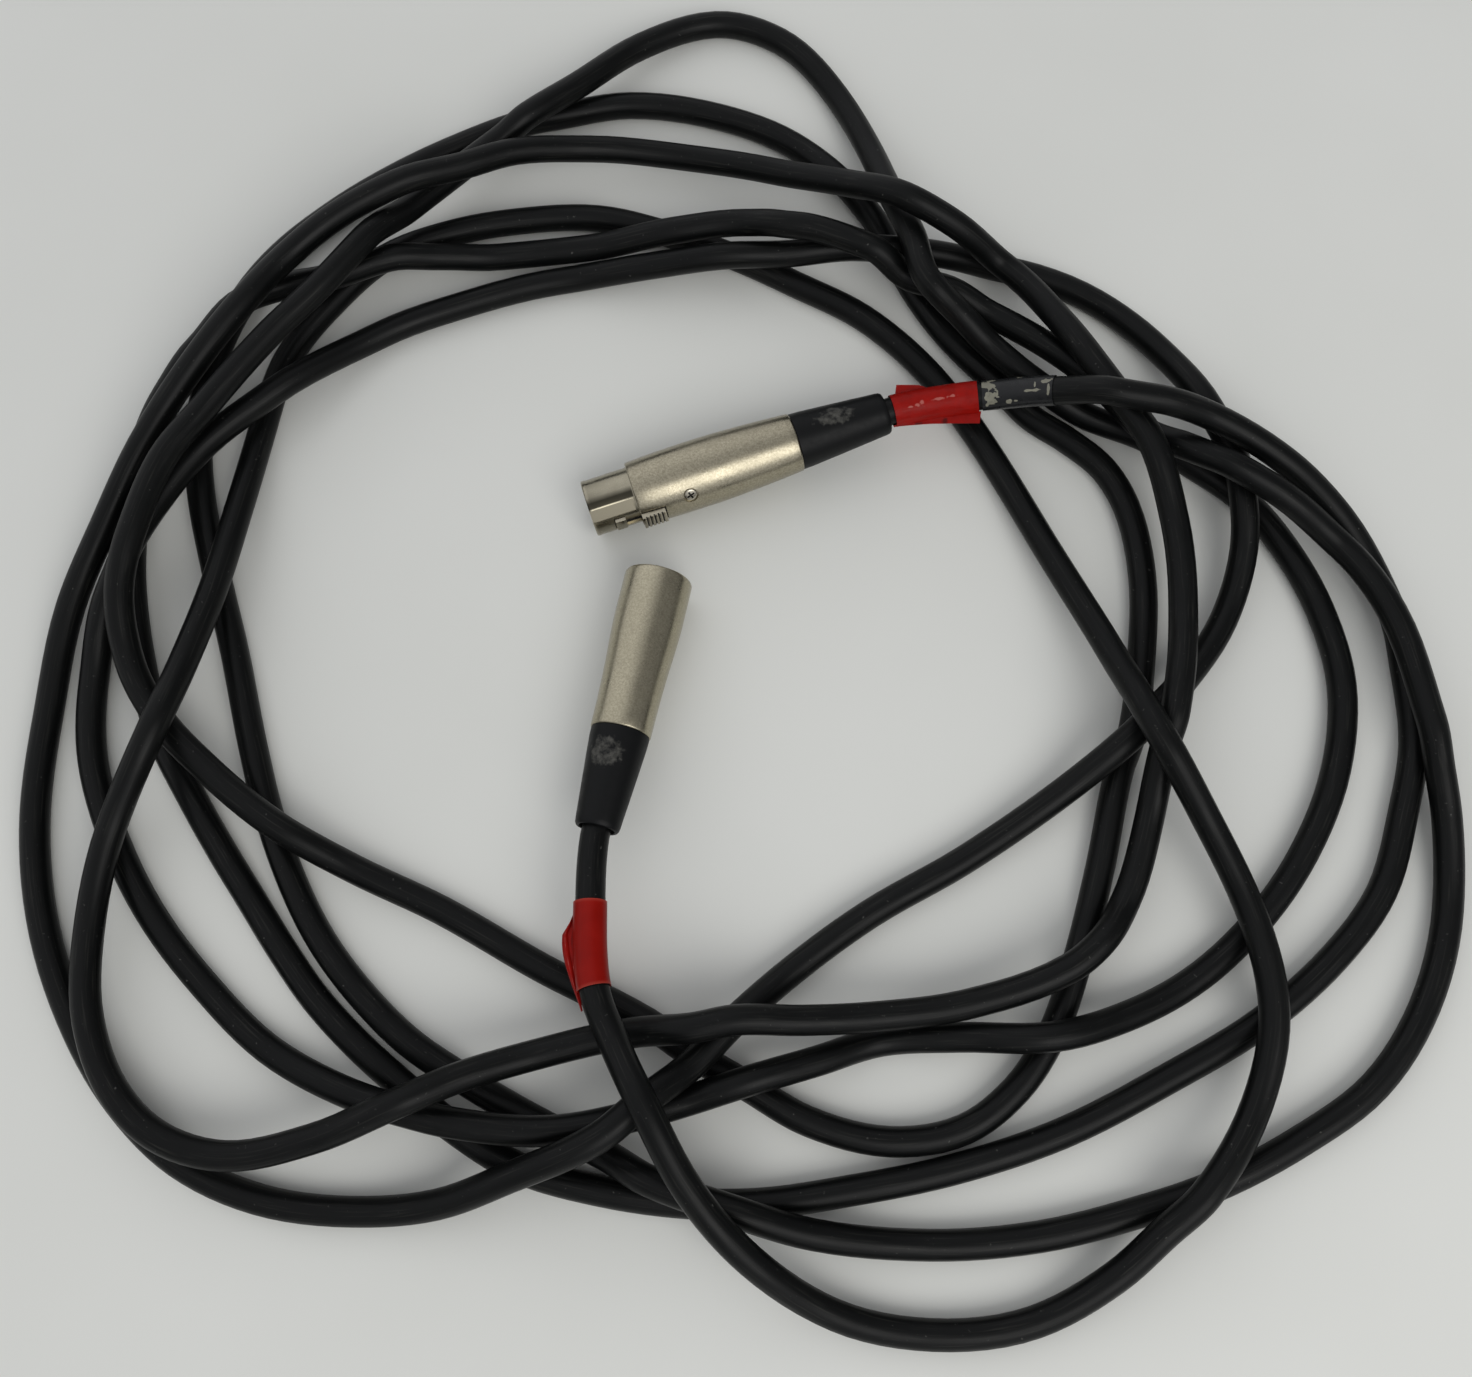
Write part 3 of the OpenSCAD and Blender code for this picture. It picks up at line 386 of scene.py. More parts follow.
def female_tape_shape(u, w):
    """Goes along the long wedge, under the cable, out and back for the short wedge, over the cable and
    onto the long wedge again. Each stretch ends at its own share of the way round."""
    long_wedge, under, short_wedge, over = 0.12, 0.46, 0.54, 0.93
    under_radius, over_radius = 4.2, 4.34
    wrinkle = 0.11 * noise.noise(Vector((u * 5, w * 9, 0.5)))
    wrinkle += 0.06 * noise.noise(Vector((u * 20, w * 26, 4.0)))
    along = -0.03 + 0.985 * u + 0.04 * w
    if w < long_wedge:
        s = w / long_wedge
        wide = 0.3 + 3.3 * u
        across = -4.2 - wide * (1 - s)
        up = -0.75 - 0.35 * (1 - s) + 0.16 * math.sin(7 * u) * (1 - s)
        return along + 0.055 * u * (0.6 + 0.4 * s), across, up + wrinkle
    if w < under:
        angle = math.radians(190 + 170 * (w - long_wedge) / (under - long_wedge))
        return along, (under_radius + wrinkle) * math.cos(angle), (under_radius + wrinkle) * math.sin(angle)
    if w < short_wedge:
        wide = 0.0
        if 0.09 < u < 0.44:
            wide = 3.0 - 6.0 * (u - 0.1) if u < 0.4 else 1.2 - 30 * (u - 0.4)
        s = 1 - abs(w - (under + short_wedge) / 2) / ((short_wedge - under) / 2)
        up = 0.1 + 0.5 * (w - under) / (short_wedge - under) + 0.3 * s
        return along, 4.22 + max(0.0, wide) * s, up
    if w < over:
        angle = math.radians(8 + 160 * (w - short_wedge) / (over - short_wedge))
        return along, (over_radius + wrinkle) * math.cos(angle), (over_radius + wrinkle) * math.sin(angle)
    s = (w - over) / (1 - over)
    return along, -4.25 - 0.42 * s, 0.88 - 1.35 * s + wrinkle


female_tape_wrap = wrap("female_tape_wrap", route_end + 1, route_end, 110, female_tape_shape, tape_thickness)

# Creased vinyl: red that shifts over 3 mm, pale scuffs on its ridges, and painted shade in the folds of the
# long wedge
red_vinyl, tree, shader, place = start_finish("creased red vinyl tape")
shader.inputs["Specular IOR Level"].default_value = 0.12
tape_size = (23.9, 40)
wear = add_node(tree, "ShaderNodeTexNoise", {"Scale": 300.0, "Detail": 5.0, "Roughness": 0.6},
                {"Vector": place["Object"]})
red_tone = add_node(tree, "ShaderNodeMix", {"data_type": "RGBA", 6: srgb("#700803"), 7: srgb("#9f1008")},
                    {0: wear.outputs["Fac"]})
scuffs = marks(tree, place, [
    (0.27, 0.79, 0.8, 0.5), (0.33, 0.785, 0.5, 0.9), (0.53, 0.775, 1.2, 0.35), (0.7, 0.77, 1.3, 0.4),
    (0.2, 0.8, 0.9, 0.3), (0.6, 0.12, 1.2, 0.5)], tape_size, jag=0.8, noise_scale=900.0, soft=0.35)
faint = add_node(tree, "ShaderNodeMath", {"operation": "MULTIPLY", 1: 0.42}, {0: scuffs.outputs[0]})
scuffed = add_node(tree, "ShaderNodeMix", {"data_type": "RGBA", 7: srgb("#c8857c")},
                   {0: faint.outputs[0], 6: red_tone.outputs[2]})
# Painted shade where the long wedge folds
painted_fold_shade = marks(tree, place, [
    (0.3, 0.03, 1.7, 0.8), (0.3, 0.11, 1.7, 0.5), (0.59, 0.04, 0.7, 1.6), (0.59, 0.12, 0.6, 0.6)],
    tape_size, jag=0.7, noise_scale=700.0, soft=0.3)
dim = add_node(tree, "ShaderNodeMath", {"operation": "MULTIPLY", 1: 0.75}, {0: painted_fold_shade.outputs[0]})
fold_shaded = add_node(tree, "ShaderNodeMix", {"data_type": "RGBA", 7: srgb("#2e0c0b")},
                  {0: dim.outputs[0], 6: scuffed.outputs[2]})
tree.links.new(fold_shaded.outputs[2], shader.inputs["Base Color"])
gloss = add_node(tree, "ShaderNodeMapRange",
                 {"From Min": 0.3, "From Max": 0.7, "To Min": 0.3, "To Max": 0.5},
                 {"Value": wear.outputs["Fac"]})
tree.links.new(gloss.outputs[0], shader.inputs["Roughness"])
stretched = add_node(tree, "ShaderNodeMapping", {"Scale": (2.5, 9.0, 1.0)}, {"Vector": place["UV"]})
creases = add_node(tree, "ShaderNodeTexNoise", {"Scale": 1.6, "Detail": 3.0},
                   {"Vector": stretched.outputs[0]})
bump = add_node(tree, "ShaderNodeBump", {"Strength": 0.4, "Distance": 0.0006},
                {"Height": creases.outputs["Fac"]})
tree.links.new(bump.outputs[0], shader.inputs["Normal"])
female_tape_wrap.data.materials.append(red_vinyl)
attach(female_tape_wrap, "lead")
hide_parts("female_tape")


# Male tape: the same red tape, wound smooth and even near the male boot, with its end left as a folded flag.
# The flag stands out to the side, is widest near its top, and runs out in a point past the band's lower edge.
def male_tape_shape(u, w):
    """Winds a little more than once round, with both ends standing off slightly."""
    angle = math.radians(186 + 372 * w)
    radius = 4.2 + 0.16 * w + 0.02 * noise.noise(Vector((u * 4, w * 6, 9.0)))
    radius += 0.12 * (1 - min(1.0, w / 0.05)) + 0.25 * max(0.0, (w - 0.96) / 0.04)
    return 0.02 + 0.95 * u, radius * math.cos(angle), radius * math.sin(angle)


male_tape_wrap = wrap("male_tape_wrap", route_start, route_start + 1, 72, male_tape_shape, tape_thickness)

# Smooth vinyl: an even red that shifts over 4 mm, rubbed paler at the tape's two edges
smooth_vinyl, tree, shader, place = start_finish("smooth red vinyl tape")
shader.inputs["Specular IOR Level"].default_value = 0.12
haze = add_node(tree, "ShaderNodeTexNoise", {"Scale": 220.0, "Detail": 3.0}, {"Vector": place["Object"]})
red_tone = add_node(tree, "ShaderNodeMix", {"data_type": "RGBA", 6: srgb("#770903"), 7: srgb("#8f1107")},
                    {0: haze.outputs["Fac"]})
on_tape = add_node(tree, "ShaderNodeSeparateXYZ", {}, {0: place["UV"]})
from_middle = add_node(tree, "ShaderNodeMath", {"operation": "SUBTRACT", 1: 0.5}, {0: on_tape.outputs["X"]})
from_middle = add_node(tree, "ShaderNodeMath", {"operation": "ABSOLUTE"}, {0: from_middle.outputs[0]})
near_edge = add_node(tree, "ShaderNodeMapRange", {"From Min": 0.46, "From Max": 0.5, "To Max": 0.35},
                     {"Value": from_middle.outputs[0]})
edged = add_node(tree, "ShaderNodeMix", {"data_type": "RGBA", 7: srgb("#b85345")},
                 {0: near_edge.outputs[0], 6: red_tone.outputs[2]})
tree.links.new(edged.outputs[2], shader.inputs["Base Color"])
gloss = add_node(tree, "ShaderNodeMapRange",
                 {"From Min": 0.3, "From Max": 0.7, "To Min": 0.3, "To Max": 0.42},
                 {"Value": haze.outputs["Fac"]})
tree.links.new(gloss.outputs[0], shader.inputs["Roughness"])
male_tape_wrap.data.materials.append(smooth_vinyl)
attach(male_tape_wrap, "lead")
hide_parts("male_tape")


def male_flag_shape(u, w):
    """Goes out from the band to the flag's edge and folds back over itself. Its width is given at each
    tenth of its length."""
    widths = [0.5, 1.6, 3.2, 3.3, 3.1, 2.7, 2.1, 1.6, 1.1, 0.7, 0.4]
    tenth = min(9, int(u * 10))
    wide = widths[tenth] + (widths[tenth + 1] - widths[tenth]) * (u * 10 - tenth)
    ripple = 0.14 * noise.noise(Vector((u * 13, w * 5, 3.0)))
    along = 0.15 + 1.02 * u
    if w < 0.5:
        s = w / 0.5
        return along, -3.95 - wide * s, -0.5 - 0.5 * s + ripple
    s = (w - 0.5) / 0.5
    back = 0.62 * wide * s * (0.4 + 0.6 * min(1.0, 2 * u))
    return along, -3.95 - wide + back, -1.0 + 0.8 * math.sin(math.pi * min(1, 0.8 * s)) + ripple


male_tape_flag = wrap("male_tape_flag", route_start, route_start + 1, 30, male_flag_shape, tape_thickness)
# The flag takes the same vinyl, with the painted fold shade
male_tape_flag.data.materials.append(red_vinyl)
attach(male_tape_flag, "lead")


# Female shell: one zinc die casting, a 16 mm nose collar stepping up to a barrel that swells in its middle.
# The barrel keeps the satin, speckled nickel plate of its blasted casting, and the collar is brighter.
# It has a keyway, a slot for the latch and a counterbored screw hole.
def turned(name, profile, sides=96):
    """Turns a closed outline of (height, radius) in mm into a ring-shaped solid about Z."""
    bpy.ops.object.select_all(action="DESELECT")
    height, radius = profile[0]
    bpy.ops.mesh.primitive_circle_add(vertices=sides, radius=radius, location=(0, 0, height))
    piece = bpy.context.object
    piece.name = name
    bpy.ops.object.transform_apply(location=True, rotation=True, scale=True)
    bpy.ops.object.mode_set(mode="EDIT")
    bpy.ops.mesh.select_all(action="SELECT")
    for next_height, next_radius in profile[1:] + profile[:1]:
        bpy.ops.mesh.extrude_region_move(TRANSFORM_OT_translate={"value": (0, 0, next_height - height)})
        share = next_radius / radius
        bpy.ops.transform.resize(value=(share, share, 1), center_override=(0, 0, next_height))
        height, radius = next_height, next_radius
    bpy.ops.mesh.select_all(action="SELECT")
    bpy.ops.mesh.remove_doubles(threshold=0.0005)
    bpy.ops.mesh.normals_make_consistent(inside=False)
    bpy.ops.object.mode_set(mode="OBJECT")
    return piece


def rounded(piece, width, segments):
    """Rounds a piece's sharp edges."""
    bevel = piece.modifiers.new("edges", "BEVEL")
    bevel.width = width
    bevel.segments = segments
    bevel.limit_method = "ANGLE"
    bevel.angle_limit = math.radians(28)
    bpy.context.view_layer.objects.active = piece
    bpy.ops.object.modifier_apply(modifier="edges")


def subtract(piece, tool, turn):
    """Takes a tool's shape out of a piece, once the tool is turned about the piece's own axis, in degrees."""
    tool.rotation_euler = (0, 0, math.radians(turn))
    bpy.ops.object.transform_apply(location=True, rotation=True, scale=True)
    bore = piece.modifiers.new("cut", "BOOLEAN")
    bore.operation = "DIFFERENCE"
    bore.solver = "EXACT"
    bore.object = tool
    bpy.context.view_layer.objects.active = piece
    bpy.ops.object.modifier_apply(modifier="cut")
    bpy.data.objects.remove(tool)


def mill(piece, turn, size, centre):
    """Mills a block of a size and centre in mm out of a piece, at a turn about the piece's own axis."""
    bpy.ops.object.select_all(action="DESELECT")
    bpy.ops.mesh.primitive_cube_add(size=1, location=centre, scale=size)
    bpy.ops.object.transform_apply(location=True, rotation=True, scale=True)
    subtract(piece, bpy.context.object, turn)


def drill(piece, turn, radius, depth, centre):
    """Drills a round hole, in mm, square to the piece's own axis and at a turn about it."""
    bpy.ops.object.select_all(action="DESELECT")
    bpy.ops.mesh.primitive_cylinder_add(vertices=48, radius=radius, depth=depth, location=centre,
                                        rotation=(0, math.radians(90), 0))
    bpy.ops.object.transform_apply(location=True, rotation=True, scale=True)
    subtract(piece, bpy.context.object, turn)


def screw_hole(piece, turn, height, seat_centre):
    """Sinks a flat seat for a screw's head at a height behind the nose, and drills the screw's hole in it."""
    drill(piece, turn, radius=2.2, depth=4, centre=(seat_centre, 0, height))
    drill(piece, turn, radius=1.25, depth=8, centre=(9.5, 0, height))


def lay(piece, spot):
    """Lays a piece modelled in mm about Z at its spot in the coil and smooths its round faces."""
    bpy.ops.object.select_all(action="DESELECT")
    piece.select_set(True)
    bpy.context.view_layer.objects.active = piece
    piece.matrix_world = spot @ Matrix.Scale(0.001, 4)
    bpy.ops.object.transform_apply(location=True, rotation=True, scale=True)
    bpy.ops.object.shade_smooth_by_angle(angle=math.radians(32))


female_spot = (Matrix.Translation(female_nose) @ Matrix.Rotation(math.radians(female_turn), 4, "Z")
               @ Matrix.Rotation(math.radians(90 - female_rise), 4, "Y"))
collar_length, female_length = 13.3, 61.3
keyway_turn, latch_turn, female_screw_turn, female_screw_height = 221, 256, 234, 28.2
female_casting = turned("female_casting", [
    (0, 7.3), (0, 7.75), (0.3, 8.0), (1.1, 8.0), (1.3, 7.9), (12.9, 7.95), (collar_length, 8.05),
    (collar_length, 8.85), (13.5, 9.1), (13.9, 9.2), (18, 9.38), (24, 9.54), (30, 9.6), (36, 9.58),
    (42, 9.42), (48, 9.14), (54, 8.78), (59, 8.45), (61, 8.3), (female_length, 8.1), (female_length, 7.5),
    (collar_length, 7.5), (collar_length, 7.1), (0.3, 7.1)])
mill(female_casting, keyway_turn, size=(1.0, 3.6, 14.0), centre=(7.95, 0, 5.6))
hook_window, button_slot = (4, 4.5, 7.8), (6, 5.5, 7.5)
mill(female_casting, latch_turn, size=hook_window, centre=(8.4, 0, 9.55))
mill(female_casting, latch_turn, size=button_slot, centre=(9.4, 0, 16.9))
screw_hole(female_casting, female_screw_turn, female_screw_height, seat_centre=10.75)

# Satin nickel over blasted zinc: metallic, warm grey, sparkling at each grain of about half a millimetre
satin_nickel, tree, shader, place = start_finish("satin nickel on blasted zinc")
shader.inputs["Metallic"].default_value = 1.0
grit = add_node(tree, "ShaderNodeTexNoise", {"Scale": 1900.0, "Detail": 3.0, "Roughness": 0.7},
                {"Vector": place["Object"]})
haze = add_node(tree, "ShaderNodeTexNoise", {"Scale": 120.0, "Detail": 3.0}, {"Vector": place["Object"]})
grit_tone = add_node(tree, "ShaderNodeMapRange", {"From Min": 0.34, "From Max": 0.66},
                     {"Value": grit.outputs["Fac"]})
nickel_tone = add_node(tree, "ShaderNodeMix", {"data_type": "RGBA", 6: srgb("#8c8573"), 7: srgb("#aea793")},
                       {0: grit_tone.outputs[0]})
tree.links.new(nickel_tone.outputs[2], shader.inputs["Base Color"])
dull = add_node(tree, "ShaderNodeMapRange",
                {"From Min": 0.3, "From Max": 0.7, "To Min": 0.24, "To Max": 0.35},
                {"Value": haze.outputs["Fac"]})
tree.links.new(dull.outputs[0], shader.inputs["Roughness"])
bump = add_node(tree, "ShaderNodeBump", {"Strength": 0.3, "Distance": 0.00005},
                {"Height": grit.outputs["Fac"]})
tree.links.new(bump.outputs[0], shader.inputs["Normal"])

# Bright nickel on the collar: smoother, smeared by fingers over about 3 mm, and darkened and duller in two
# bands: a painted dark reflection beside the keyway and painted shade in the keyway's recess. Each band goes
# by its turn on the collar, in degrees, and stops short of the barrel.
bright_nickel, tree, shader, place = start_finish("bright nickel")
shader.inputs["Metallic"].default_value = 1.0
smear = add_node(tree, "ShaderNodeTexNoise", {"Scale": 300.0, "Detail": 4.0}, {"Vector": place["Object"]})
smear_tone = add_node(tree, "ShaderNodeMix", {"data_type": "RGBA", 6: srgb("#8c8675"), 7: srgb("#aea896")},
                      {0: smear.outputs["Fac"]})
in_collar = add_node(tree, "ShaderNodeMapping", {"vector_type": "TEXTURE", "Location": female_nose,
                     "Rotation": female_spot.to_euler()}, {"Vector": place["Object"]})
in_collar = add_node(tree, "ShaderNodeSeparateXYZ", {}, {0: in_collar.outputs[0]})
turn_round = add_node(tree, "ShaderNodeMath", {"operation": "ARCTAN2"},
                      {0: in_collar.outputs["Y"], 1: in_collar.outputs["X"]})
painted_dark = None
# Painted darkening: first a painted dark reflection beside the keyway, then painted shade in the keyway
for edges, depth in (((-179, -167, -156, -154), 0.92), ((-153, -152, -126, -125), 0.5)):
    rise, full, fall, gone = [math.radians(edge) for edge in edges]
    up = add_node(tree, "ShaderNodeMapRange", {"From Min": rise, "From Max": full, "To Max": depth},
                  {"Value": turn_round.outputs[0]})
    down = add_node(tree, "ShaderNodeMapRange",
                    {"From Min": fall, "From Max": gone, "To Min": 1.0, "To Max": 0.0},
                    {"Value": turn_round.outputs[0]})
    band = add_node(tree, "ShaderNodeMath", {"operation": "MULTIPLY"}, {0: up.outputs[0], 1: down.outputs[0]})
    painted_dark = band if painted_dark is None else add_node(tree, "ShaderNodeMath", {"operation": "MAXIMUM"},
                                                    {0: painted_dark.outputs[0], 1: band.outputs[0]})
before_barrel = add_node(tree, "ShaderNodeMapRange",
                         {"From Min": 0.0129, "From Max": 0.0132, "To Min": 1.0, "To Max": 0.0},
                         {"Value": in_collar.outputs["Z"]})
painted_dark = add_node(tree, "ShaderNodeMath", {"operation": "MULTIPLY"},
                   {0: painted_dark.outputs[0], 1: before_barrel.outputs[0]})
# The collar's colour darkened by the painted dark reflection and the painted shade
painted_dark_collar = add_node(tree, "ShaderNodeMix", {"data_type": "RGBA", 7: srgb("#2a2821")},
                     {0: painted_dark.outputs[0], 6: smear_tone.outputs[2]})
tree.links.new(painted_dark_collar.outputs[2], shader.inputs["Base Color"])
slick = add_node(tree, "ShaderNodeMapRange",
                 {"From Min": 0.3, "From Max": 0.7, "To Min": 0.2, "To Max": 0.33},
                 {"Value": smear.outputs["Fac"]})
duller = add_node(tree, "ShaderNodeMath", {"operation": "MULTIPLY_ADD", 1: 0.2},
                  {0: painted_dark.outputs[0], 2: slick.outputs[0]})
tree.links.new(duller.outputs[0], shader.inputs["Roughness"])

female_casting.data.materials.append(satin_nickel)
female_casting.data.materials.append(bright_nickel)
for face in female_casting.data.polygons:
    face.material_index = 1 if face.center.z < collar_length + 0.01 else 0
edge_width = 0.07
rounded(female_casting, edge_width, 1)
lay(female_casting, female_spot)
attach(female_casting, "lead")
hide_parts("female_shell")


# Male shell: the same zinc casting and plate, a plain sleeve 19 mm across at its open mouth.
# It necks in behind the mouth and runs on nearly straight to the boot.
male_spot = (Matrix.Translation(male_nose) @ Matrix.Rotation(math.radians(male_turn), 4, "Z")
             @ Matrix.Rotation(math.radians(90 - male_rise), 4, "Y"))
mouth_depth, male_length = 15.5, 46.0
latch_notch_turn, male_screw_turn, male_screw_height = 0, -22, 22.9
male_casting = turned("male_casting", [
    (0, 8.36), (0, 9.0), (0.15, 9.25), (0.6, 9.48), (1.2, 9.5), (13, 9.48), (17, 9.36), (21, 9.14),
    (25, 8.88), (29, 8.65), (33, 8.48), (38, 8.36), (43, 8.28), (45.7, 8.22), (male_length, 8.0),
    (male_length, 7.5), (mouth_depth, 7.5), (mouth_depth, 8.06), (0.35, 8.06)])
mill(male_casting, latch_notch_turn, size=(2.0, 4.5, 4.4), centre=(7.7, 0, 7.5))
screw_hole(male_casting, male_screw_turn, male_screw_height, seat_centre=10.1)

# The same plate over a smoother blank: a shade paler than the female barrel's
smooth_nickel = satin_nickel.copy()
smooth_nickel.name = "satin nickel on smooth zinc"
smooth_tone = smooth_nickel.node_tree.nodes[nickel_tone.name]
smooth_tone.inputs[6].default_value, smooth_tone.inputs[7].default_value = srgb("#9c9581"), srgb("#b8b19b")
male_casting.data.materials.append(smooth_nickel)
rounded(male_casting, edge_width, 1)
lay(male_casting, male_spot)
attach(male_casting, "lead")
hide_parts("male_shell")


# Boots: moulded soft black PVC cones, pushed over the cable and into the shells' tails.
# Each ends in a rounded lip with a recess round the cable, and handling has rubbed a pale smudge on it.
boot_pvc, tree, shader, place = start_finish("satin black pvc boot")
shader.inputs["Specular IOR Level"].default_value = 0.16
rub = add_node(tree, "ShaderNodeTexNoise", {"Scale": 560.0, "Detail": 5.0, "Roughness": 0.65},
               {"Vector": place["Object"]})
# Each smudge: its middle on top of the boot, the boot's turn, and its half sizes along, across and in height
smudges = []
for middle, turn, half_sizes in (
        (female_nose + 0.0735 * female_way + Vector((-0.001, 0.001, 0.007)), female_turn,
         (0.0088, 0.0044, 0.007)),
        (male_nose + 0.0525 * male_way + Vector((-0.002, 0, 0.007)), male_turn,
         (0.0062, 0.0072, 0.007))):
    local = add_node(tree, "ShaderNodeMapping", {"vector_type": "TEXTURE", "Location": middle,
                     "Rotation": (0, 0, math.radians(turn)), "Scale": half_sizes},
                     {"Vector": place["Object"]})
    away = add_node(tree, "ShaderNodeVectorMath", {"operation": "LENGTH"}, {0: local.outputs[0]})
    smudges.append(add_node(tree, "ShaderNodeMapRange",
                            {"From Min": 0.5, "From Max": 1.1, "To Min": 0.5, "To Max": 0.0},
                            {"Value": away.outputs["Value"]}))
either = add_node(tree, "ShaderNodeMath", {"operation": "MAXIMUM"},
                  {0: smudges[0].outputs[0], 1: smudges[1].outputs[0]})
patchy = add_node(tree, "ShaderNodeMath", {"operation": "ADD"}, {0: either.outputs[0], 1: rub.outputs["Fac"]})
smudge = add_node(tree, "ShaderNodeMapRange", {"From Min": 0.86, "From Max": 1.22, "To Max": 0.8},
                  {"Value": patchy.outputs[0]})
boot_tone = add_node(tree, "ShaderNodeMix", {"data_type": "RGBA", 6: srgb("#0b0c0d"), 7: srgb("#5f5e59")},
                     {0: smudge.outputs[0]})
tree.links.new(boot_tone.outputs[2], shader.inputs["Base Color"])
boot_gloss = add_node(tree, "ShaderNodeMapRange",
                      {"From Min": 0.3, "From Max": 0.7, "To Min": 0.38, "To Max": 0.52},
                      {"Value": rub.outputs["Fac"]})
tree.links.new(boot_gloss.outputs[0], shader.inputs["Roughness"])
fine = add_node(tree, "ShaderNodeTexNoise", {"Scale": 2200.0, "Detail": 2.0}, {"Vector": place["Object"]})
bump = add_node(tree, "ShaderNodeBump", {"Strength": 0.15, "Distance": 0.00008},
                {"Height": fine.outputs["Fac"]})
tree.links.new(bump.outputs[0], shader.inputs["Normal"])

for side, spot, tail in (("female", female_spot, female_length), ("male", male_spot, male_length)):
    moulding = turned(side + "_boot_moulding", [(tail + height, radius) for height, radius in (
        (0, 7.4), (0.02, 7.85), (0.25, 8.0), (3, 7.9), (10, 7.35), (18, 6.7), (23.6, 6.22), (25.4, 6.1),
        (26.3, 5.95), (26.85, 5.6), (27, 5.2), (26.85, 4.85), (25.6, 4.7), (25.4, 4.12), (-2.6, 4.12),
        (-2.6, 7.4))])
    moulding.data.materials.append(boot_pvc)
    lay(moulding, spot)
    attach(moulding, "lead")
    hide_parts(side + "_boot")


# Latch: a nickel-plated lever under the collar with a hook in the collar's window and a ribbed thumb button.
# It turns on a steel pin behind the button and is held up by a leaf spring.
def eased_copy(node, name, body, width, finish):
    """Stands a copy of a construction solid in for it, with its edges eased and its own finish."""
    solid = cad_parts[node]
    piece = bpy.data.objects.new(name, solid.data.copy())
    scene.collection.objects.link(piece)
    piece.matrix_world = solid.matrix_world
    bpy.ops.object.select_all(action="DESELECT")
    piece.select_set(True)
    bpy.context.view_layer.objects.active = piece
    bpy.ops.object.mode_set(mode="EDIT")
    bpy.ops.mesh.select_all(action="SELECT")
    bpy.ops.mesh.remove_doubles(threshold=0.000002)
    bpy.ops.mesh.dissolve_limited(angle_limit=math.radians(1.5))
    bpy.ops.object.mode_set(mode="OBJECT")
    rounded(piece, width, 2)
    bpy.ops.object.shade_smooth_by_angle(angle=math.radians(35))
    piece.data.materials.clear()
    piece.data.materials.append(finish)
    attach(piece, body)
    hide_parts(node)
    return piece


def plain_finish(name, colour, metallic, roughness, scale, depth):
    """A fine-grained finish, metallic or moulded, with its grain's scale per metre and depth in metres."""
    finish, tree, shader, place = start_finish(name)
    shader.inputs["Metallic"].default_value = metallic
    grain = add_node(tree, "ShaderNodeTexNoise", {"Scale": scale, "Detail": 3.0}, {"Vector": place["Object"]})
    dark = [c * 0.75 for c in srgb(colour)[:3]] + [1.0]
    tone = add_node(tree, "ShaderNodeMix", {"data_type": "RGBA", 6: dark, 7: srgb(colour)},
                    {0: grain.outputs["Fac"]})
    tree.links.new(tone.outputs[2], shader.inputs["Base Color"])
    rough = add_node(tree, "ShaderNodeMapRange",
                     {"From Min": 0.3, "From Max": 0.7, "To Min": roughness * 0.8, "To Max": roughness * 1.2},
                     {"Value": grain.outputs["Fac"]})
    tree.links.new(rough.outputs[0], shader.inputs["Roughness"])
    bump = add_node(tree, "ShaderNodeBump", {"Strength": 0.2, "Distance": depth},
                    {"Height": grain.outputs["Fac"]})
    tree.links.new(bump.outputs[0], shader.inputs["Normal"])
    return finish


# Plated and spring steel catch the light in a fine grain. The button's grooves and the screws' cross slots
# are painted dark and dull, as painted shade
latch_nickel = plain_finish("nickel-plated latch steel", "#b2ab99", 1.0, 0.3, 700.0, 0.00003)
slot_shade = plain_finish("painted shade in slots and grooves", "#2a2824", 0.0, 0.7, 1500.0, 0.00003)
spring_steel = plain_finish("bright spring steel", "#9c9b98", 1.0, 0.3, 1300.0, 0.00002)
thumb_lever = eased_copy("latch_lever", "latch_thumb_lever", "latch", 0.00008, latch_nickel)
# The button's grooves take the painted shade
thumb_lever.data.materials.append(slot_shade)
latch_spot = female_spot @ Matrix.Rotation(math.radians(latch_turn), 4, "Z")
groove_floor, rib_top, groove_half_length = 0.0101, 0.01048, 0.0022
for face in thumb_lever.data.polygons:
    in_latch = latch_spot.inverted() @ face.center
    if groove_floor < in_latch.x < rib_top and abs(in_latch.y) < groove_half_length:
        face.material_index = 1

# The leaf spring is 1.6 mm high on the channel's floor, and the pressed lever takes up over half of that
leaf_spring = eased_copy("latch_spring", "latch_leaf_spring", "lead", 0.00003, spring_steel)
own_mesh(leaf_spring)


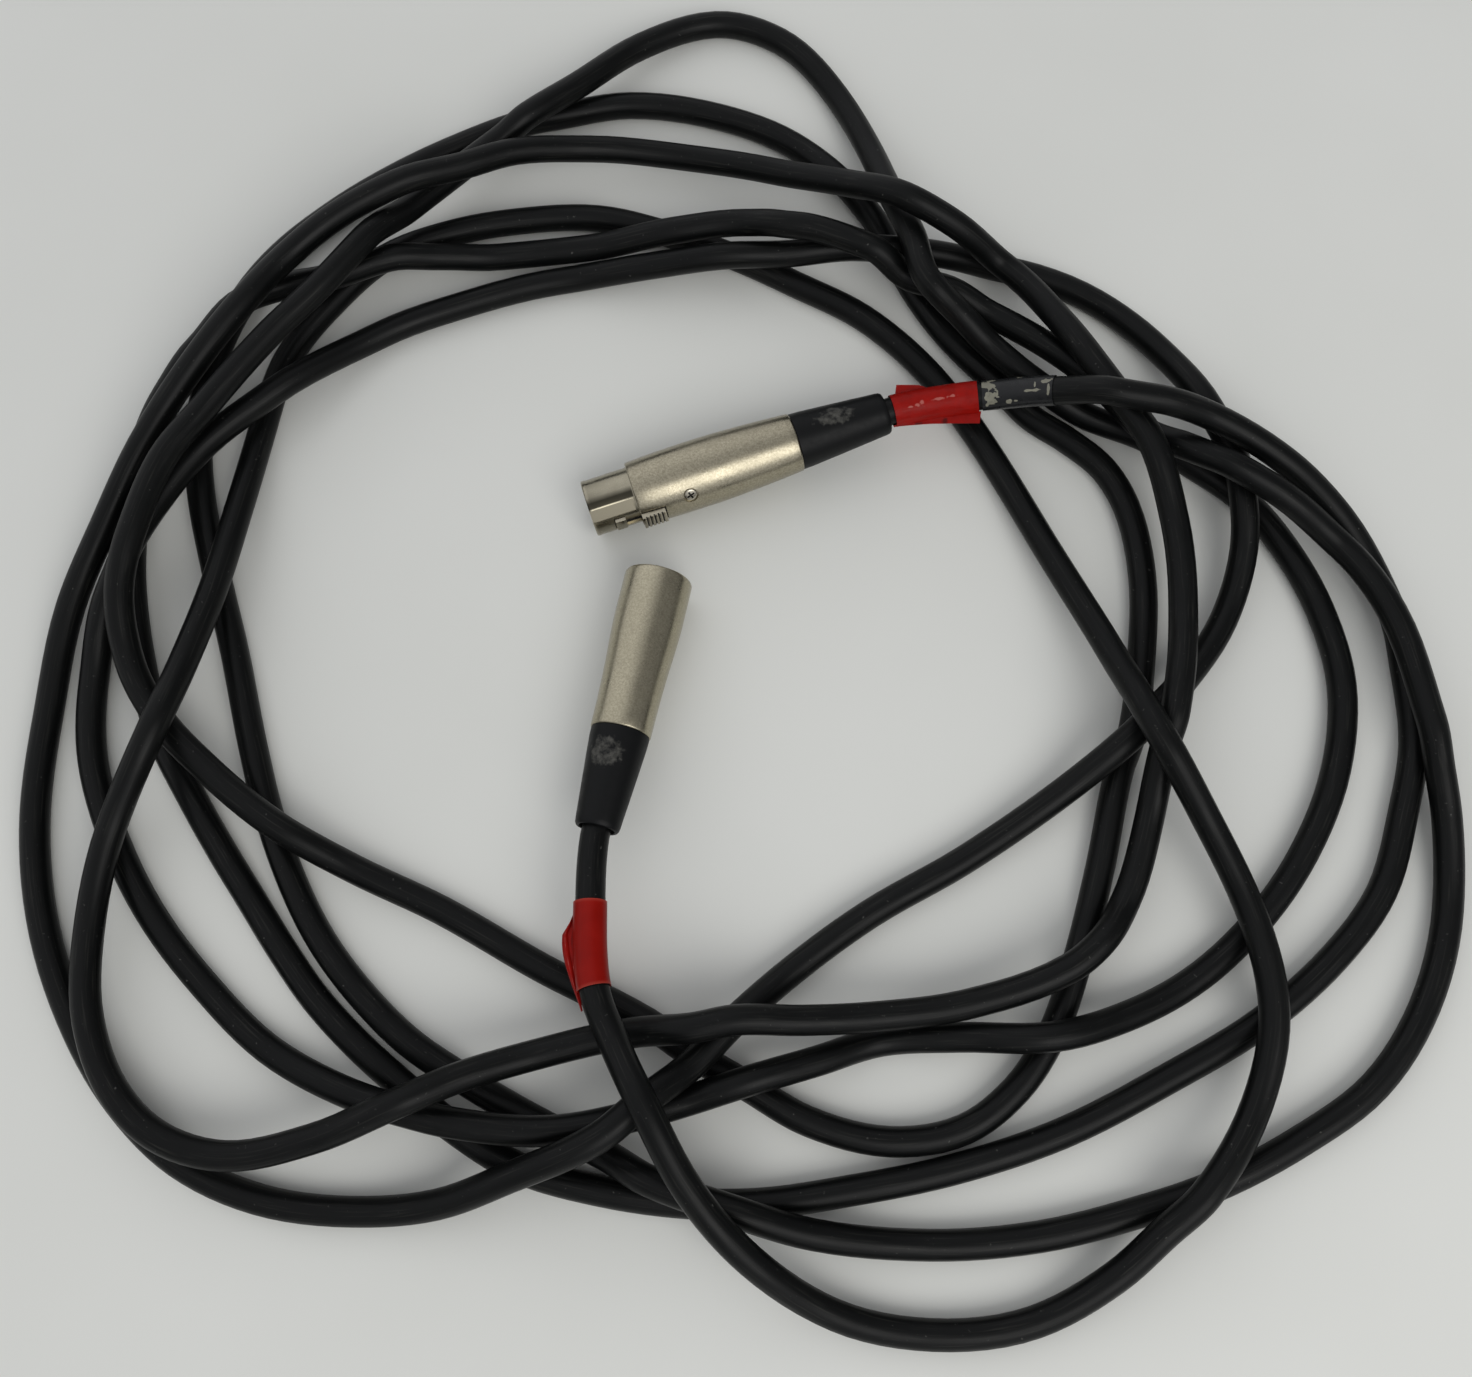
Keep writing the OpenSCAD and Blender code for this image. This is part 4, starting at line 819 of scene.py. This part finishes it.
# Screws, pins, inserts and the parts inside: turned steel, moulded black plastic, plated brass.
# The screws are turned and their heads cross-cut, and both inserts have their edges eased.
# The contacts, pins, clamps, leads and latch pin keep their construction solids, each with its own finish.
screw_nickel = plain_finish("nickel-plated screw steel", "#bdb7a8", 1.0, 0.24, 900.0, 0.00002)
screw_length, cross_floor, cross_reach = 3.3, 2.4, 1.2
for side, spot, turn, height, head_top in (
        ("female", female_spot, female_screw_turn, female_screw_height, 9.5),
        ("male", male_spot, male_screw_turn, male_screw_height, 8.9)):
    screw = turned(side + "_cross_screw", [
        (0, 0.05), (0, 1.15), (2.5, 1.15), (2.5, 1.75), (3.0, 1.8), (3.12, 1.7), (3.25, 1.2),
        (screw_length, 0.05)], sides=48)
    for turn_of_slot in (20, 110):
        mill(screw, turn_of_slot, size=(2.3, 0.52, 1.6), centre=(0, 0, cross_floor + 0.8))
    screw.data.materials.append(screw_nickel)
    # The cross slots take the painted shade
    screw.data.materials.append(slot_shade)
    for face in screw.data.polygons:
        in_cross = cross_floor - 0.05 < face.center.z < 3.2 and face.center.xy.length < cross_reach
        face.material_index = 1 if in_cross else 0
    rounded(screw, 0.04, 1)
    lay(screw, spot @ Matrix.Rotation(math.radians(turn), 4, "Z") @ Matrix.Translation((0, 0, height / 1000))
        @ Matrix.Rotation(math.radians(90), 4, "Y")
        @ Matrix.Translation((0, 0, (head_top - screw_length) / 1000)))
    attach(screw, "lead")
    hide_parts(side + "_insert_screw")
insert_nylon = plain_finish("moulded black nylon", "#202022", 0.0, 0.5, 1400.0, 0.00005)
for node in ("female_insert", "male_insert"):
    eased_copy(node, node + "_moulding", "lead", 0.00008, insert_nylon)
gold_brass = plain_finish("gold-tinted contact brass", "#c6a659", 1.0, 0.28, 1100.0, 0.00002)
silver_brass = plain_finish("silver-plated contact brass", "#d6d2c4", 1.0, 0.22, 1100.0, 0.00002)
clamp_nylon = plain_finish("grey nylon", "#3b3c40", 0.0, 0.55, 900.0, 0.00005)
wire_pvc = plain_finish("red wire insulation", "#a8342c", 0.0, 0.45, 700.0, 0.00003)
for node, finish in (
        ("female_contacts", gold_brass), ("male_pins", silver_brass), ("latch_pin", spring_steel),
        ("female_cable_clamp", clamp_nylon), ("male_cable_clamp", clamp_nylon),
        ("female_leads", wire_pvc), ("male_leads", wire_pvc)):
    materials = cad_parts[node].data.materials
    if not materials:
        materials.append(finish)
    for i in range(len(materials)):
        materials[i] = finish
